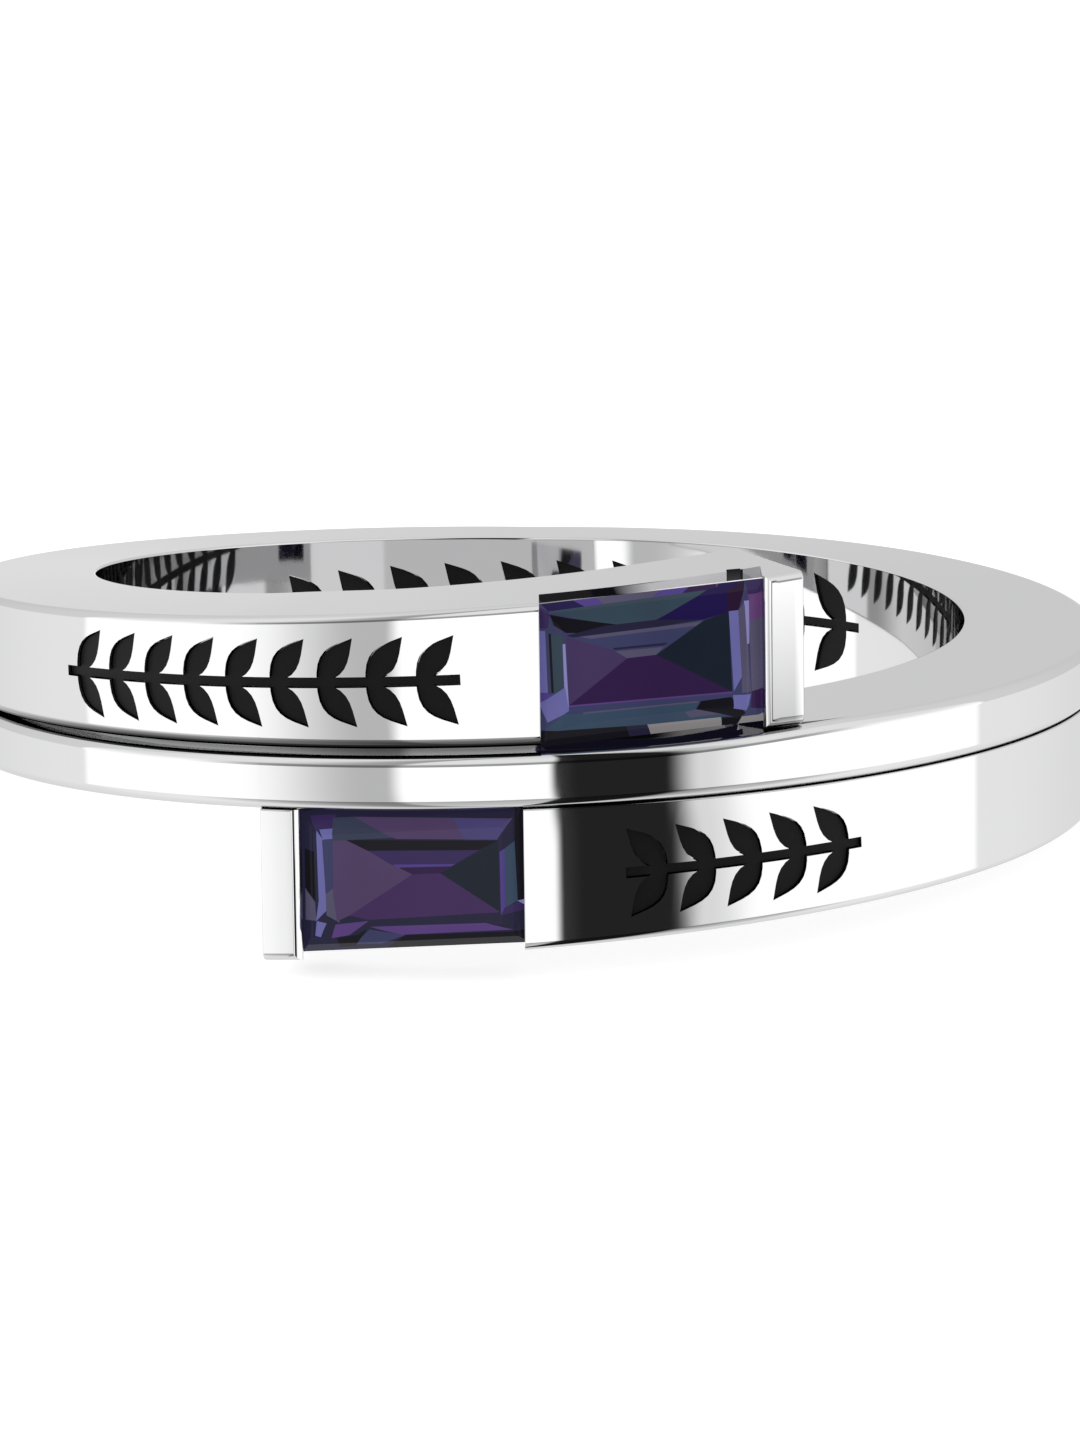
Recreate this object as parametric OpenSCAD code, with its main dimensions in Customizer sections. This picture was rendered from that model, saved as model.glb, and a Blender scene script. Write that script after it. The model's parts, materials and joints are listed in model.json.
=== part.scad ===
// A bypass ring with two stones. One ribbon of silver coils a little more than once around the
// finger. Its free ends pass each other at the front: the upper strand ends right of the middle,
// the lower strand left of it, and a thinner middle strand runs between them. Each free end
// carries a step-cut stone, held between the strand's cut wall and a small end bar.
// Azimuths are counted from the front (-Y) towards the right (+X) around the finger's axis.

/* [Finger hole] */
// Radius of the finger hole, US ring size 7
bore_r = 8.65; // [8.5:0.05:8.75]

/* [Ribbon] */
// Radius of the outer wall
outer_r = 11.3; // [11.2:0.05:11.5]
// Distance of the outer wall's axis in front of the finger's axis
outer_shift = 0.8; // [0.7:0.05:0.85]
// Height of the thin middle strand
middle_h = 1.15; // [1.1:0.05:1.25]
// Rise of the coil in one turn, which is also the outer strand's height at the back
coil_pitch = 1.9; // [1.8:0.05:2]
// Height of an outer strand at its free end
end_h = 2.9; // [2.8:0.05:3]

/* [Free ends] */
// Direction of a free end's face, seen from above
end_face_turn = 20.9; // [20:0.1:22]
// Distance of that face from the finger's axis
end_face_offset = 0.86; // [0.8:0.01:0.9]

/* [Joint lines] */
// Width of the groove between two strands
groove_w = 0.3; // [0.2:0.05:0.4]
// Depth of that groove
groove_d = 0.22; // [0.15:0.01:0.3]
// Open gap under the upper strand
gap_h = 0.12; // [0.1:0.01:0.15]
// Depth of the open gap
gap_d = 0.8; // [0.5:0.05:1]

/* [Stones] */
// Length of a stone
stone_l = 4.32; // [4.3:0.01:4.36]
// Height of a stone
stone_h = 2.66; // [2.6:0.01:2.68]
// Azimuth that the upper stone faces
stone_turn = 12; // [11:0.5:13]
// Slope of the stone's upper and lower edges; its ends are upright
stone_tilt = 4; // [3.8:0.1:4.2]
// Height of the stone's middle over the ring's middle plane
stone_z = 1.97; // [1.95:0.01:1.98]
// Distance of the stone's girdle from the finger's axis
girdle_rho = 11.35; // [11.3:0.01:11.4]
// Radius of the wall behind the stone, about the outer wall's axis
wall_r = 10.1; // [10.05:0.01:10.15]
// Clearance between a stone and its seat
stone_gap = 0.03; // [0.02:0.01:0.04]
// Length of the window that lets light into the stone from the finger hole
window_l = 3; // [2.6:0.1:3.1]
// Height of that window
window_h = 1.7; // [1.4:0.1:1.8]

/* [Ornament] */
// Depth of the recess that holds the black enamel
recess_d = 0.28; // [0.2:0.01:0.3]
// How far the enamel lies below the metal's surface
enamel_down = 0.14; // [0.1:0.01:0.18]
// Gap between the enamel and the walls of its recess
enamel_gap = 0.02; // [0.01:0.01:0.03]
// Length of a leaf on the outer wall
leaf_l = 1.12; // [1:0.01:1.15]
// Width of a leaf on the outer wall
leaf_w = 0.5; // [0.4:0.01:0.52]

/* [Hidden] */
$fn = 96;

// The coil's small departures from a plain helix, as heights of its first three waves
helix_waves = [0.075, -0.05, 0.02];
// The outer strand swells towards its free end a little faster than a straight taper
taper_waves = [-0.19, -0.06];
// Azimuth at which an outer strand would reach its full end height
taper_end = 27.4;

// How the ring rests on a table: its front is raised and its right side lowered
rest_pitch = -5.22;
rest_roll = 1.95;

// Radii just inside the finger hole and just outside the outer wall, for the cutting solids
cut_in_r = bore_r - 1.2;
cut_out_r = outer_r + outer_shift + 1.2;
// A height over the whole ring
clear_z = 6;
station_step = 5;

// The notch for a stone: its left side's X, and its right side's place along the stone
notch_left = 0.17;
notch_right = 2.05;
// Middle of the stone along its length
stone_x = -0.16;
girdle_h = 0.1;

// The slot down the wall behind a stone: left side, width, and its two ends along Y
slot_x = 3.65;
slot_w = 0.26;
slot_front = 11.05;
slot_back = 10;

// Zones of the leaf ornament, as azimuths counted on the upper strand
upper_zone = [-47.5, -6.5];
lower_zone = [-30.5, -8.5];
pair_spacing = 0.9;
// Zone of the ornament on the inside of the back
inside_zone = [129, 216];
inside_spacing = 1.15;
inside_leaf_l = 1.4;
inside_leaf_w = 0.64;
inside_depth = 0.2;

function outer_radius(a) = outer_shift * cos(a) + sqrt(outer_r ^ 2 - (outer_shift * sin(a)) ^ 2);
function middle_top(a) = middle_h / 2 + coil_pitch * a / 360
    + helix_waves[0] * sin(a) + helix_waves[1] * sin(2 * a) + helix_waves[2] * sin(3 * a);
function along_strand(a) = (taper_end - a) / (taper_end + 180);
function strand_height(a) = let (u = along_strand(a))
    end_h * (1 - u) + coil_pitch * u + taper_waves[0] * sin(180 * u) + taper_waves[1] * sin(360 * u);
function strand_top(a) = middle_top(a) + strand_height(a);
function strand_middle(a) = (middle_top(a) + strand_top(a)) / 2;
function strand_slope(a) = atan2(strand_middle(a + 1) - strand_middle(a - 1),
                                 2 * PI / 180 * outer_radius(a));

// A point of the outline after the ring is laid down on the table
function laid(p) = let (y = p.y * cos(rest_pitch) - p.z * sin(rest_pitch),
                        z = p.y * sin(rest_pitch) + p.z * cos(rest_pitch))
    [p.x * cos(rest_roll) + z * sin(rest_roll), y, z * cos(rest_roll) - p.x * sin(rest_roll)];
function around(a, r, z) = [r * sin(a), -r * cos(a), z];

// Azimuth of a free end's face at a radius, and on the outer wall
function end_azimuth(r) = end_face_turn + asin(end_face_offset / r);
end_corner_a = end_azimuth(outer_radius(25));
// The upper edge on a wall, from the back over the left to the free end, then down and the right
function upper_edge(wall) = let (inner = wall == "inner", last = inner ? end_azimuth(bore_r) : end_corner_a)
    [for (a = [-180 : station_step / 2 : 180]) around(a, inner ? bore_r : outer_radius(a),
        a < last ? strand_top(min(a, end_corner_a)) : middle_top(a)),
     around(last, inner ? bore_r : outer_radius(last), strand_top(end_corner_a))];
upper_outline = concat(upper_edge("inner"), upper_edge("outer"));
outline = [for (p = upper_outline) laid(p), for (p = upper_outline) laid([-p.x, p.y, -p.z])];
function lowest(i) = min([for (p = outline) p[i]]);
function highest(i) = max([for (p = outline) p[i]]);

// Moves the ring from its own upright frame onto the table, centred over the origin
module lay_down() {
    translate([-(lowest(0) + highest(0)) / 2, -(lowest(1) + highest(1)) / 2, -lowest(2)])
        rotate([0, rest_roll, 0])
            rotate([rest_pitch, 0, 0])
                children();
}

// Whole multiples of the step from one azimuth to another, with both ends
function stations(first, last) = [
    first,
    for (k = [floor(first / station_step) + 1 : ceil(last / station_step) - 1]) k * station_step,
    last];

// A solid swept around the finger's axis. The section gives [radius, height] points for an azimuth
module sweep(first, last, section) {
    angles = stations(first, last);
    steps = len(angles) - 1;
    n = len(section(first));
    points = [for (a = angles, p = section(a)) around(a, p[0], p[1])];
    sides = [for (i = [0 : steps - 1], k = [0 : n - 1])
        let (m = (k + 1) % n, here = i * n, next = here + n)
            each [[here + k, next + m, here + m], [here + k, next + k, next + m]]];
    start_cap = [for (k = [0 : n - 1]) k];
    end_cap = [for (k = [n - 1 : -1 : 0]) steps * n + k];
    polyhedron(points, concat(sides, [start_cap, end_cap]));
}

// A section from a low to a high line, between two radii
function strip(r_in, r_out, low, high) = [[r_in, low], [r_in, high], [r_out, high], [r_out, low]];

// The wall between the finger hole and the outer wall, higher than the ring on both sides
module tube() {
    difference() {
        translate([0, -outer_shift, -clear_z])
            cylinder(r = outer_r, h = 2 * clear_z);
        translate([0, 0, -clear_z - 1])
            cylinder(r = bore_r, h = 2 * clear_z + 2);
    }
}

// The closed slab that the coil fills between the two radii of the cutting solids. Its top follows
// the upper strand, steps down at that strand's free end and then follows the middle strand. Its
// bottom is the same line turned half round the Y axis. Both steps lie in a free end's plane
module coil_slab() {
    end_mark = 25;
    marks = [for (a = [-180 : station_step : 180 - station_step]) a];
    n = len(marks);
    up = search(end_mark, marks)[0];
    down = search(-end_mark, marks)[0];
    turn = function (a, r) abs(a) == end_mark ? sign(a) * end_azimuth(r) : a;
    top = function (i) marks[i] < end_mark ? [strand_top(marks[i])]
        : marks[i] > end_mark ? [middle_top(marks[i])]
        : [strand_top(end_corner_a), middle_top(end_corner_a)];
    bottom = function (i) marks[i] > -end_mark ? [-strand_top(-marks[i])]
        : marks[i] < -end_mark ? [-middle_top(-marks[i])]
        : [-middle_top(end_corner_a), -strand_top(end_corner_a)];
    ring_of = function (r, heights) [for (i = [0 : n - 1], z = heights(i)) around(turn(marks[i], r), r, z)];
    points = concat(ring_of(cut_in_r, top), ring_of(cut_out_r, top),
                    ring_of(cut_in_r, bottom), ring_of(cut_out_r, bottom));
    // Point numbers of a station, just before and just after a step
    before = function (row, i) row * (n + 1) + i + (i > (row < 2 ? up : down) ? 1 : 0);
    after = function (row, i) row * (n + 1) + i + (i >= (row < 2 ? up : down) ? 1 : 0);
    skins = [for (i = [0 : n - 1]) let (j = (i + 1) % n) each [
        [after(0, i), before(0, j), before(1, j)],
        [after(0, i), before(1, j), after(1, i)],
        [after(2, i), after(3, i), before(3, j)],
        [after(2, i), before(3, j), before(2, j)]]];
    // The wall between two stations, from a corner that sees the others, with a step's extra point
    wall = function (t, b, i, j)
        j == up ? [after(t, i), before(t, j), after(t, j), before(b, j), after(b, i)]
        : i == down ? [before(t, j), before(b, j), after(b, i), before(b, i), after(t, i)]
        : [after(t, i), before(t, j), before(b, j), after(b, i)];
    walls = [for (i = [0 : n - 1]) let (j = (i + 1) % n, out = wall(1, 3, i, j), in = wall(0, 2, i, j))
        each [for (k = [1 : len(out) - 2]) each [
            [out[0], out[k], out[k + 1]], [in[0], in[k + 1], in[k]]]]];
    ends = [
        [before(1, up), before(0, up), after(0, up), after(1, up)],
        [before(2, down), before(3, down), after(3, down), after(2, down)]];
    polyhedron(points, concat(skins, walls, ends));
}

// The V-shaped joint line under the upper strand, which fades out towards the back
module groove() {
    fade_start = -165;
    fade_angle = 25;
    outside = 0.4;
    half_mouth = groove_w / 2 * (1 + outside / groove_d);
    depth = function (a) min(groove_d, groove_d * (a - fade_start) / fade_angle);
    section = function (a) [
        [outer_radius(a) - depth(a), middle_top(a)],
        [outer_radius(a) + outside, middle_top(a) + half_mouth],
        [outer_radius(a) + outside, middle_top(a) - half_mouth]];
    sweep(fade_start - 5, end_face_turn + 8, section);
}

// The open gap between the middle strand and the upper strand, deepest at the front
module open_gap() {
    fade_start = -92;
    fade_angle = 45;
    depth = function (a) min(gap_d, gap_d * (a - fade_start) / fade_angle);
    section = function (a) strip(outer_radius(a) - depth(a), cut_out_r,
        middle_top(a) - gap_h, middle_top(a) + 0.001);
    sweep(fade_start - 6, end_face_turn + 6, section);
}

// Places a child at the upper stone: X along the stone, -Y outwards, Z across it
module at_stone() {
    rotate([0, 0, stone_turn])
        children();
}

// A solid at the stone's place, through levels of [half length, half height, distance outwards from
// the girdle]. Its ends are upright, and its upper and lower sides slope along the strand
module stone_block(levels) {
    last = len(levels) - 1;
    corners = [[-1, -1], [1, -1], [1, 1], [-1, 1]];
    points = [for (level = levels, c = corners)
        let (along = c[0] * level[0]) [along, -level[2], c[1] * level[1] + along * tan(stone_tilt)]];
    sides = [for (i = [0 : last - 1], k = [0 : 3])
        [4 * i + k, 4 * i + 4 + k, 4 * i + 4 + (k + 1) % 4, 4 * i + (k + 1) % 4]];
    back = [0, 1, 2, 3];
    front = [for (k = [3 : -1 : 0]) 4 * last + k];
    at_stone()
        translate([stone_x, -girdle_rho, stone_z])
            polyhedron(points, concat(sides, [back, front]));
}

// A step-cut stone from its keel to its table, or its seat when grown by the clearance
module cut_stone(grow) {
    half_l = stone_l / 2;
    half_h = stone_h / 2;
    levels = [
        [0.43, 0.03, -1.3 - grow],
        [half_l - 0.95, half_h - 0.62, -0.92],
        [half_l - 0.42, half_h - 0.24, -0.5],
        [half_l, half_h, -girdle_h],
        [half_l, half_h, grow],
        [half_l - 0.16, half_h - 0.16, 0.2 + grow],
        [half_l - 0.42, half_h - 0.42, 0.36 + grow]];
    stone_block([for (level = levels) [level[0] + grow, level[1] + grow, level[2]]]);
}

// The window behind the stone, from the finger hole to the lower part of the seat
module back_window() {
    in_the_hole = -3.3;
    in_the_seat = -0.7;
    stone_block([for (out = [in_the_hole, in_the_seat]) [window_l / 2, window_h / 2, out]]);
}

// A place along the stone and outwards from the finger's axis, as X and Y
function beside_stone(along, out) =
    [along * cos(stone_turn) + out * sin(stone_turn), along * sin(stone_turn) - out * cos(stone_turn)];

// The notch through the upper strand in front of the curved wall that carries the stone. Its floor
// lies the given distance under the middle strand's top
module notch(drop) {
    back = 9.7;
    reach = 20;
    opening = function (a) strip(back, cut_out_r, middle_top(a) - drop, clear_z);
    plan = [[notch_left, -back], [notch_left, -cut_out_r], beside_stone(notch_right, cut_out_r),
        beside_stone(notch_right, back)];
    difference() {
        intersection() {
            translate([0, 0, -1])
                linear_extrude(clear_z + 1)
                    polygon(plan);
            sweep(stone_turn - reach, stone_turn + reach, opening);
        }
        translate([0, -outer_shift, -2])
            cylinder(r = wall_r, h = clear_z + 4);
    }
}

// The narrow slot down the wall behind the stone, near the end bar
module slot() {
    start = 9.8;
    floor_rise = 0.05;
    floor_line = function (a) strip(start, cut_out_r, middle_top(a) + floor_rise, clear_z);
    intersection() {
        translate([slot_x, -slot_front, -1])
            cube([slot_w, slot_front - slot_back, clear_z + 1]);
        sweep(5, 35, floor_line);
    }
}

// A leaf outline from its foot at the origin to its tip, grown or shrunk all round
module leaf(l, w, grow) {
    steps = 8;
    length = l + 2 * grow;
    half = function (t) (w / 2 + grow) * sin(180 * t) * (1.25 - 0.5 * t);
    polygon([for (i = [0 : steps]) let (t = i / steps) [t * length - grow, half(t)],
             for (i = [steps - 1 : -1 : 1]) let (t = i / steps) [t * length - grow, -half(t)]]);
}

// A pair of leaves with the piece of stem that they grow from
module leaf_pair(l, w, spacing, grow) {
    stem_w = 0.2;
    translate([-spacing * 0.62 - grow, -stem_w / 2 - grow])
        square([spacing * 1.24 + 2 * grow, stem_w + 2 * grow]);
    for (side = [-1, 1])
        translate([-spacing * 0.3, 0])
            rotate(side * 48)
                leaf(l, w, grow);
}

// Sprigs of leaf pairs on the upper strand's outer wall, as prisms that cross the wall
module outer_sprig(zone, grow) {
    arc = (zone[1] - zone[0]) * PI / 180 * outer_r;
    count = round(arc / pair_spacing);
    spacing = arc / count;
    for (i = [0 : count - 1])
        let (a = zone[0] + (zone[1] - zone[0]) * (i + 0.5) / count)
            rotate([0, 0, a])
                translate([0, -outer_radius(a) + 1, strand_middle(a)])
                    rotate([90, 0, 0])
                        rotate(strand_slope(a))
                            linear_extrude(height = 2)
                                leaf_pair(leaf_l, leaf_w, spacing, grow);
}

// The same sprig at a larger scale on the inside of the back
module inner_sprig(grow) {
    arc = (inside_zone[1] - inside_zone[0]) * PI / 180 * bore_r;
    count = round(arc / inside_spacing);
    spacing = arc / count;
    for (i = [0 : count - 1])
        let (a = inside_zone[0] + (inside_zone[1] - inside_zone[0]) * (i + 0.5) / count)
            rotate([0, 0, a])
                translate([0, -bore_r + 1, 0])
                    rotate([90, 0, 0])
                        linear_extrude(height = 2)
                            leaf_pair(inside_leaf_l, inside_leaf_w, spacing, grow);
}

// The layer of the outer wall between two depths, measured along the wall's own radius
module outer_layer(shallow, deep) {
    difference() {
        translate([0, -outer_shift, -clear_z])
            cylinder(r = outer_r - shallow, h = 2 * clear_z);
        translate([0, -outer_shift, -clear_z - 1])
            cylinder(r = outer_r - deep, h = 2 * clear_z + 2);
    }
}

// The layer behind the finger hole's wall between two depths
module inner_layer(shallow, deep) {
    difference() {
        translate([0, 0, -clear_z])
            cylinder(r = bore_r + deep, h = 2 * clear_z);
        translate([0, 0, -clear_z - 1])
            cylinder(r = bore_r + shallow, h = 2 * clear_z + 2);
    }
}

// All metal: the coil, its end bars, the seats and the recesses are one cast piece
module band() {
    color("silver")
        lay_down()
            difference() {
                intersection() {
                    tube();
                    coil_slab();
                }
                for (turn = [0, 180])
                    rotate([0, turn, 0]) {
                        groove();
                        notch(turn == 0 ? gap_h + 0.02 : 0);
                        slot();
                        cut_stone(stone_gap);
                        back_window();
                    }
                open_gap();
                intersection() {
                    outer_layer(-1, recess_d);
                    union() {
                        outer_sprig(upper_zone, 0);
                        rotate([0, 180, 0])
                            outer_sprig(lower_zone, 0);
                    }
                }
                intersection() {
                    inner_layer(-1, inside_depth);
                    inner_sprig(0);
                }
            }
}

module upper_stone() {
    color([0.28, 0.2, 0.42])
        lay_down()
            cut_stone(0);
}

module lower_stone() {
    color([0.28, 0.2, 0.42])
        lay_down()
            rotate([0, 180, 0])
                cut_stone(0);
}

module upper_enamel() {
    color([0.04, 0.04, 0.05])
        lay_down()
            intersection() {
                outer_layer(enamel_down, recess_d - enamel_gap);
                outer_sprig(upper_zone, -enamel_gap);
            }
}

module lower_enamel() {
    color([0.04, 0.04, 0.05])
        lay_down()
            rotate([0, 180, 0])
                intersection() {
                    outer_layer(enamel_down, recess_d - enamel_gap);
                    outer_sprig(lower_zone, -enamel_gap);
                }
}

module inside_enamel() {
    color([0.04, 0.04, 0.05])
        lay_down()
            intersection() {
                inner_layer(enamel_down / 2, inside_depth - enamel_gap);
                inner_sprig(-enamel_gap);
            }
}

band();
upper_stone();
lower_stone();
upper_enamel();
lower_enamel();
inside_enamel();
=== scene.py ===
"""A bypass ring with two step-cut stones, dressed for its portrait on a pale table.

The ring is described in its own upright frame, in millimetres: the finger's axis is Z, the
front is -Y, and azimuths are counted in degrees from the front towards the right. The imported
record's finger bore says how that frame lies on the table.
"""
from __future__ import annotations

import json
import logging
import math
from collections.abc import Callable, Sequence
from dataclasses import dataclass, field
from enum import Enum
from typing import Any

import bmesh
import bpy
import numpy as np
from mathutils import Matrix, Vector
from mathutils.geometry import delaunay_2d_cdt

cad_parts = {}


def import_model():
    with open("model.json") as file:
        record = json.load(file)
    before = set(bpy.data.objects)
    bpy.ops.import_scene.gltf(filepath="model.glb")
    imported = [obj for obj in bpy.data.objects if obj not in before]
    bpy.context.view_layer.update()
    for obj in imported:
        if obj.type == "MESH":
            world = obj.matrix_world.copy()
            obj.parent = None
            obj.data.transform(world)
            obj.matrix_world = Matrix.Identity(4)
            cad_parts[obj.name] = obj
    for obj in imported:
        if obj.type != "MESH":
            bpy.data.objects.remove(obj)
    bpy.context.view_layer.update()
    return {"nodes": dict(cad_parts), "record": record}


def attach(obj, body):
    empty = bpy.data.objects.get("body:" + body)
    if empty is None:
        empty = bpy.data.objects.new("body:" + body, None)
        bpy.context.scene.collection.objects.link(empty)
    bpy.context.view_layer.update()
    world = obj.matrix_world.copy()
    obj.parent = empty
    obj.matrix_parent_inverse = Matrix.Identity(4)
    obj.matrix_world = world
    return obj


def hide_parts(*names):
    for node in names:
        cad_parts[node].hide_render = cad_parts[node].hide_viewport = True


LOG = logging.getLogger("ring")
MILLIMETRE = 0.001
CORNERS = ((-1, -1), (1, -1), (1, 1), (-1, 1))
BLOCK_FACES = ((0, 1, 2, 3), (4, 5, 6, 7), (0, 1, 5, 4), (1, 2, 6, 5), (2, 3, 7, 6), (3, 0, 4, 7))
# Number of the level at the front of a stone's girdle, counted from its keel
GIRDLE_LEVEL = 4
# Places round a stone's back, with two more on the upper side; next to the second of them the white back
# facet fades into painted shade
BACK_CORNERS = ((-1, -1), (1, -1), (1, 1), (0.1, 1), (-0.25, 1), (-1, 1))
DARK_BACK_CORNER = 4

RingPoint = tuple[float, float, float]
SectionPoint = tuple[float, float]


def smooth_ramp(x: float, start: float, end: float) -> float:
    """Eases from 0 at the start to 1 at the end."""
    t = min(max((x - start) / (end - start), 0.0), 1.0)
    return t * t * (3.0 - 2.0 * t)


def sin_deg(angle: float) -> float:
    """Sine of an angle in degrees."""
    return math.sin(math.radians(angle))


def cos_deg(angle: float) -> float:
    """Cosine of an angle in degrees."""
    return math.cos(math.radians(angle))


class Turn(Enum):
    """The two strands: the lower one is the upper one turned half round the Y axis."""

    UPPER = 1
    LOWER = -1


@dataclass(frozen=True)
class Coil:
    """The coiled ribbon's own lines, in millimetres and degrees."""

    bore_radius: float = 8.65
    outer_radius: float = 11.3
    outer_shift: float = 0.8
    middle_height: float = 1.15
    pitch: float = 1.9
    end_height: float = 2.9
    taper_end: float = 27.4
    end_azimuth: float = 25.0
    end_face_turn: float = 20.9
    end_face_offset: float = 0.86
    helix_waves: tuple[float, float, float] = (0.075, -0.05, 0.02)
    taper_waves: tuple[float, float] = (-0.19, -0.06)
    gap: float = 0.12
    gap_depth: float = 0.8
    gap_opening: tuple[float, float] = (-95.0, -35.0)
    gap_closing: tuple[float, float] = (10.0, 31.0)
    strand_step: float = 0.06
    joint_opening: tuple[float, float] = (-172.0, -140.0)
    closed_joint: float = 0.03
    # Where the painted shade under the foot of the upper end bar sets in, and how dark it is
    bar_foot: tuple[float, float] = (15.0, 18.0)
    bar_foot_shade: float = 0.4

    def wall_radius(self, azimuth: float) -> float:
        """Distance of the outer wall from the finger's axis."""
        across = self.outer_shift * sin_deg(azimuth)
        return self.outer_shift * cos_deg(azimuth) + math.sqrt(self.outer_radius**2 - across**2)

    def middle_top(self, azimuth: float) -> float:
        """Height of the middle strand's top edge."""
        waves = sum(w * sin_deg((k + 1) * azimuth) for k, w in enumerate(self.helix_waves))
        return self.middle_height / 2 + self.pitch * azimuth / 360 + waves

    def strand_top(self, azimuth: float) -> float:
        """Height of the upper strand's top edge."""
        u = (self.taper_end - azimuth) / (self.taper_end + 180)
        waves = self.taper_waves[0] * sin_deg(180 * u) + self.taper_waves[1] * sin_deg(360 * u)
        return self.middle_top(azimuth) + self.end_height * (1 - u) + self.pitch * u + waves

    def strand_middle(self, azimuth: float) -> float:
        """Height halfway up the upper strand."""
        return (self.middle_top(azimuth) + self.strand_top(azimuth)) / 2

    def strand_slope(self, azimuth: float) -> float:
        """Slope of the upper strand's middle line on the outer wall, in degrees."""
        rise = self.strand_middle(azimuth + 1) - self.strand_middle(azimuth - 1)
        return math.degrees(math.atan2(rise, math.radians(2) * self.wall_radius(azimuth)))

    def joint_depth(self, azimuth: float) -> float:
        """How far the joint line under the upper strand is open, from almost 0 at the back to 1."""
        return max(smooth_ramp(azimuth, *self.joint_opening), self.closed_joint)

    def open_gap(self, azimuth: float) -> float:
        """Height of the open gap under the upper strand."""
        closing = smooth_ramp(azimuth, *self.gap_closing)
        return self.gap * smooth_ramp(azimuth, *self.gap_opening) * (1 - closing)

    def painted_shade(self, azimuth: float, radius: float, height: float, edge: float) -> float:
        """How much painted shade the joint under the upper strand gets at a point in it.

        Args:
            azimuth: The point's azimuth.
            radius: Its distance from the finger's axis.
            height: Its height.
            edge: Size of the strand's rounded lower edge.

        Returns:
            0 where no shade is painted to 1 where no light comes in.
        """
        margin, before_face = 0.01, 0.2
        depth = self.wall_radius(azimuth) - radius
        over = height - self.middle_top(azimuth)
        inside = depth < self.gap_depth + self.strand_step + 2 * margin and -margin < over < edge
        if not inside or azimuth > self.face_azimuth(radius) - before_face:
            return 0.0
        # Painted shade: the open gap is painted dark and its painted reflection fades up the strand's
        # rounded lower edge; under the upper end bar a lighter painted shade takes over.
        under_bar = smooth_ramp(azimuth, *self.bar_foot)
        opening = smooth_ramp(azimuth, *self.gap_opening) * (1 - under_bar)
        rise = 1 - max(over, 0.0) / edge
        first_turn = 0.7 * smooth_ramp(rise, 0.0, 0.25)
        second_turn = 0.3 * smooth_ramp(rise, 0.3, 0.65)
        behind = smooth_ramp(depth, edge + 0.1, edge + 0.4)
        open_tone = (first_turn + second_turn) * (1 - behind)
        return open_tone * opening + self.bar_foot_shade * under_bar * (1 - opening)

    def face_azimuth(self, radius: float) -> float:
        """Azimuth of the upper strand's end face at a radius."""
        return self.end_face_turn + math.degrees(math.asin(self.end_face_offset / radius))


@dataclass(frozen=True)
class RestPose:
    """How the ring's upright frame lies on the table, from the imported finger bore."""

    matrix: Matrix

    @classmethod
    def from_record(cls, record: dict[str, Any]) -> RestPose:
        """Reads the bore's middle and axis.

        Args:
            record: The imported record.

        Returns:
            The pose that takes millimetres in the ring's frame to metres on the table.
        """
        bore = next(m for m in record["mounts"] if m["name"] == "finger_bore")
        axis = Vector(bore["axis"]).normalized()
        pitch = -math.asin(axis.y)
        roll = math.atan2(axis.x, axis.z)
        turn = Matrix.Rotation(roll, 4, "Y") @ Matrix.Rotation(pitch, 4, "X")
        return cls(Matrix.Translation(bore["pos_m"]) @ turn @ Matrix.Scale(MILLIMETRE, 4))

    def place(self, obj: bpy.types.Object) -> None:
        """Moves a mesh made in the ring's frame onto the table."""
        obj.data.transform(self.matrix)
        obj.data.update()


def mesh_object(name: str, vertices: Sequence[RingPoint],
                faces: Sequence[Sequence[int]]) -> bpy.types.Object:
    """Makes a linked object from points and faces, with its normals turned outwards.

    Args:
        name: The object's name.
        vertices: Points in the ring's frame.
        faces: Corner numbers of each face.

    Returns:
        The new object.
    """
    same_point, no_length = 1e-5, 1e-6
    mesh = bpy.data.meshes.new(name)
    mesh.from_pydata([tuple(v) for v in vertices], [], [tuple(f) for f in faces])
    shape = bmesh.new()
    shape.from_mesh(mesh)
    bmesh.ops.remove_doubles(shape, verts=shape.verts, dist=same_point)
    bmesh.ops.dissolve_degenerate(shape, edges=shape.edges, dist=no_length)
    bmesh.ops.recalc_face_normals(shape, faces=shape.faces)
    shape.to_mesh(mesh)
    shape.free()
    obj = bpy.data.objects.new(name, mesh)
    bpy.context.scene.collection.objects.link(obj)
    return obj


def baked_mesh(obj: bpy.types.Object) -> bpy.types.Mesh:
    """The object's mesh with its modifiers applied."""
    graph = bpy.context.evaluated_depsgraph_get()
    return bpy.data.meshes.new_from_object(obj.evaluated_get(graph), depsgraph=graph)


def combine(target: bpy.types.Object, tool: bpy.types.Object, operation: str) -> None:
    """Cuts or joins one closed mesh with another and drops the tool.

    Args:
        target: The object that is changed.
        tool: The closed mesh that changes it.
        operation: DIFFERENCE or UNION.
    """
    boolean = target.modifiers.new("cut", "BOOLEAN")
    boolean.operation = operation
    boolean.solver = "MANIFOLD"
    boolean.object = tool
    result = baked_mesh(target)
    target.modifiers.clear()
    old = target.data
    target.data = result
    bpy.data.meshes.remove(old)
    bpy.data.objects.remove(tool)


def turned(points: Sequence[RingPoint], turn: Turn) -> list[RingPoint]:
    """The points of the upper strand, or the same points of the lower strand."""
    s = turn.value
    return [(s * x, y, s * z) for x, y, z in points]


def dress(obj: bpy.types.Object, material: bpy.types.Material) -> None:
    """Gives an object one finish in place of what it had."""
    obj.data.materials.clear()
    obj.data.materials.append(material)


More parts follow.
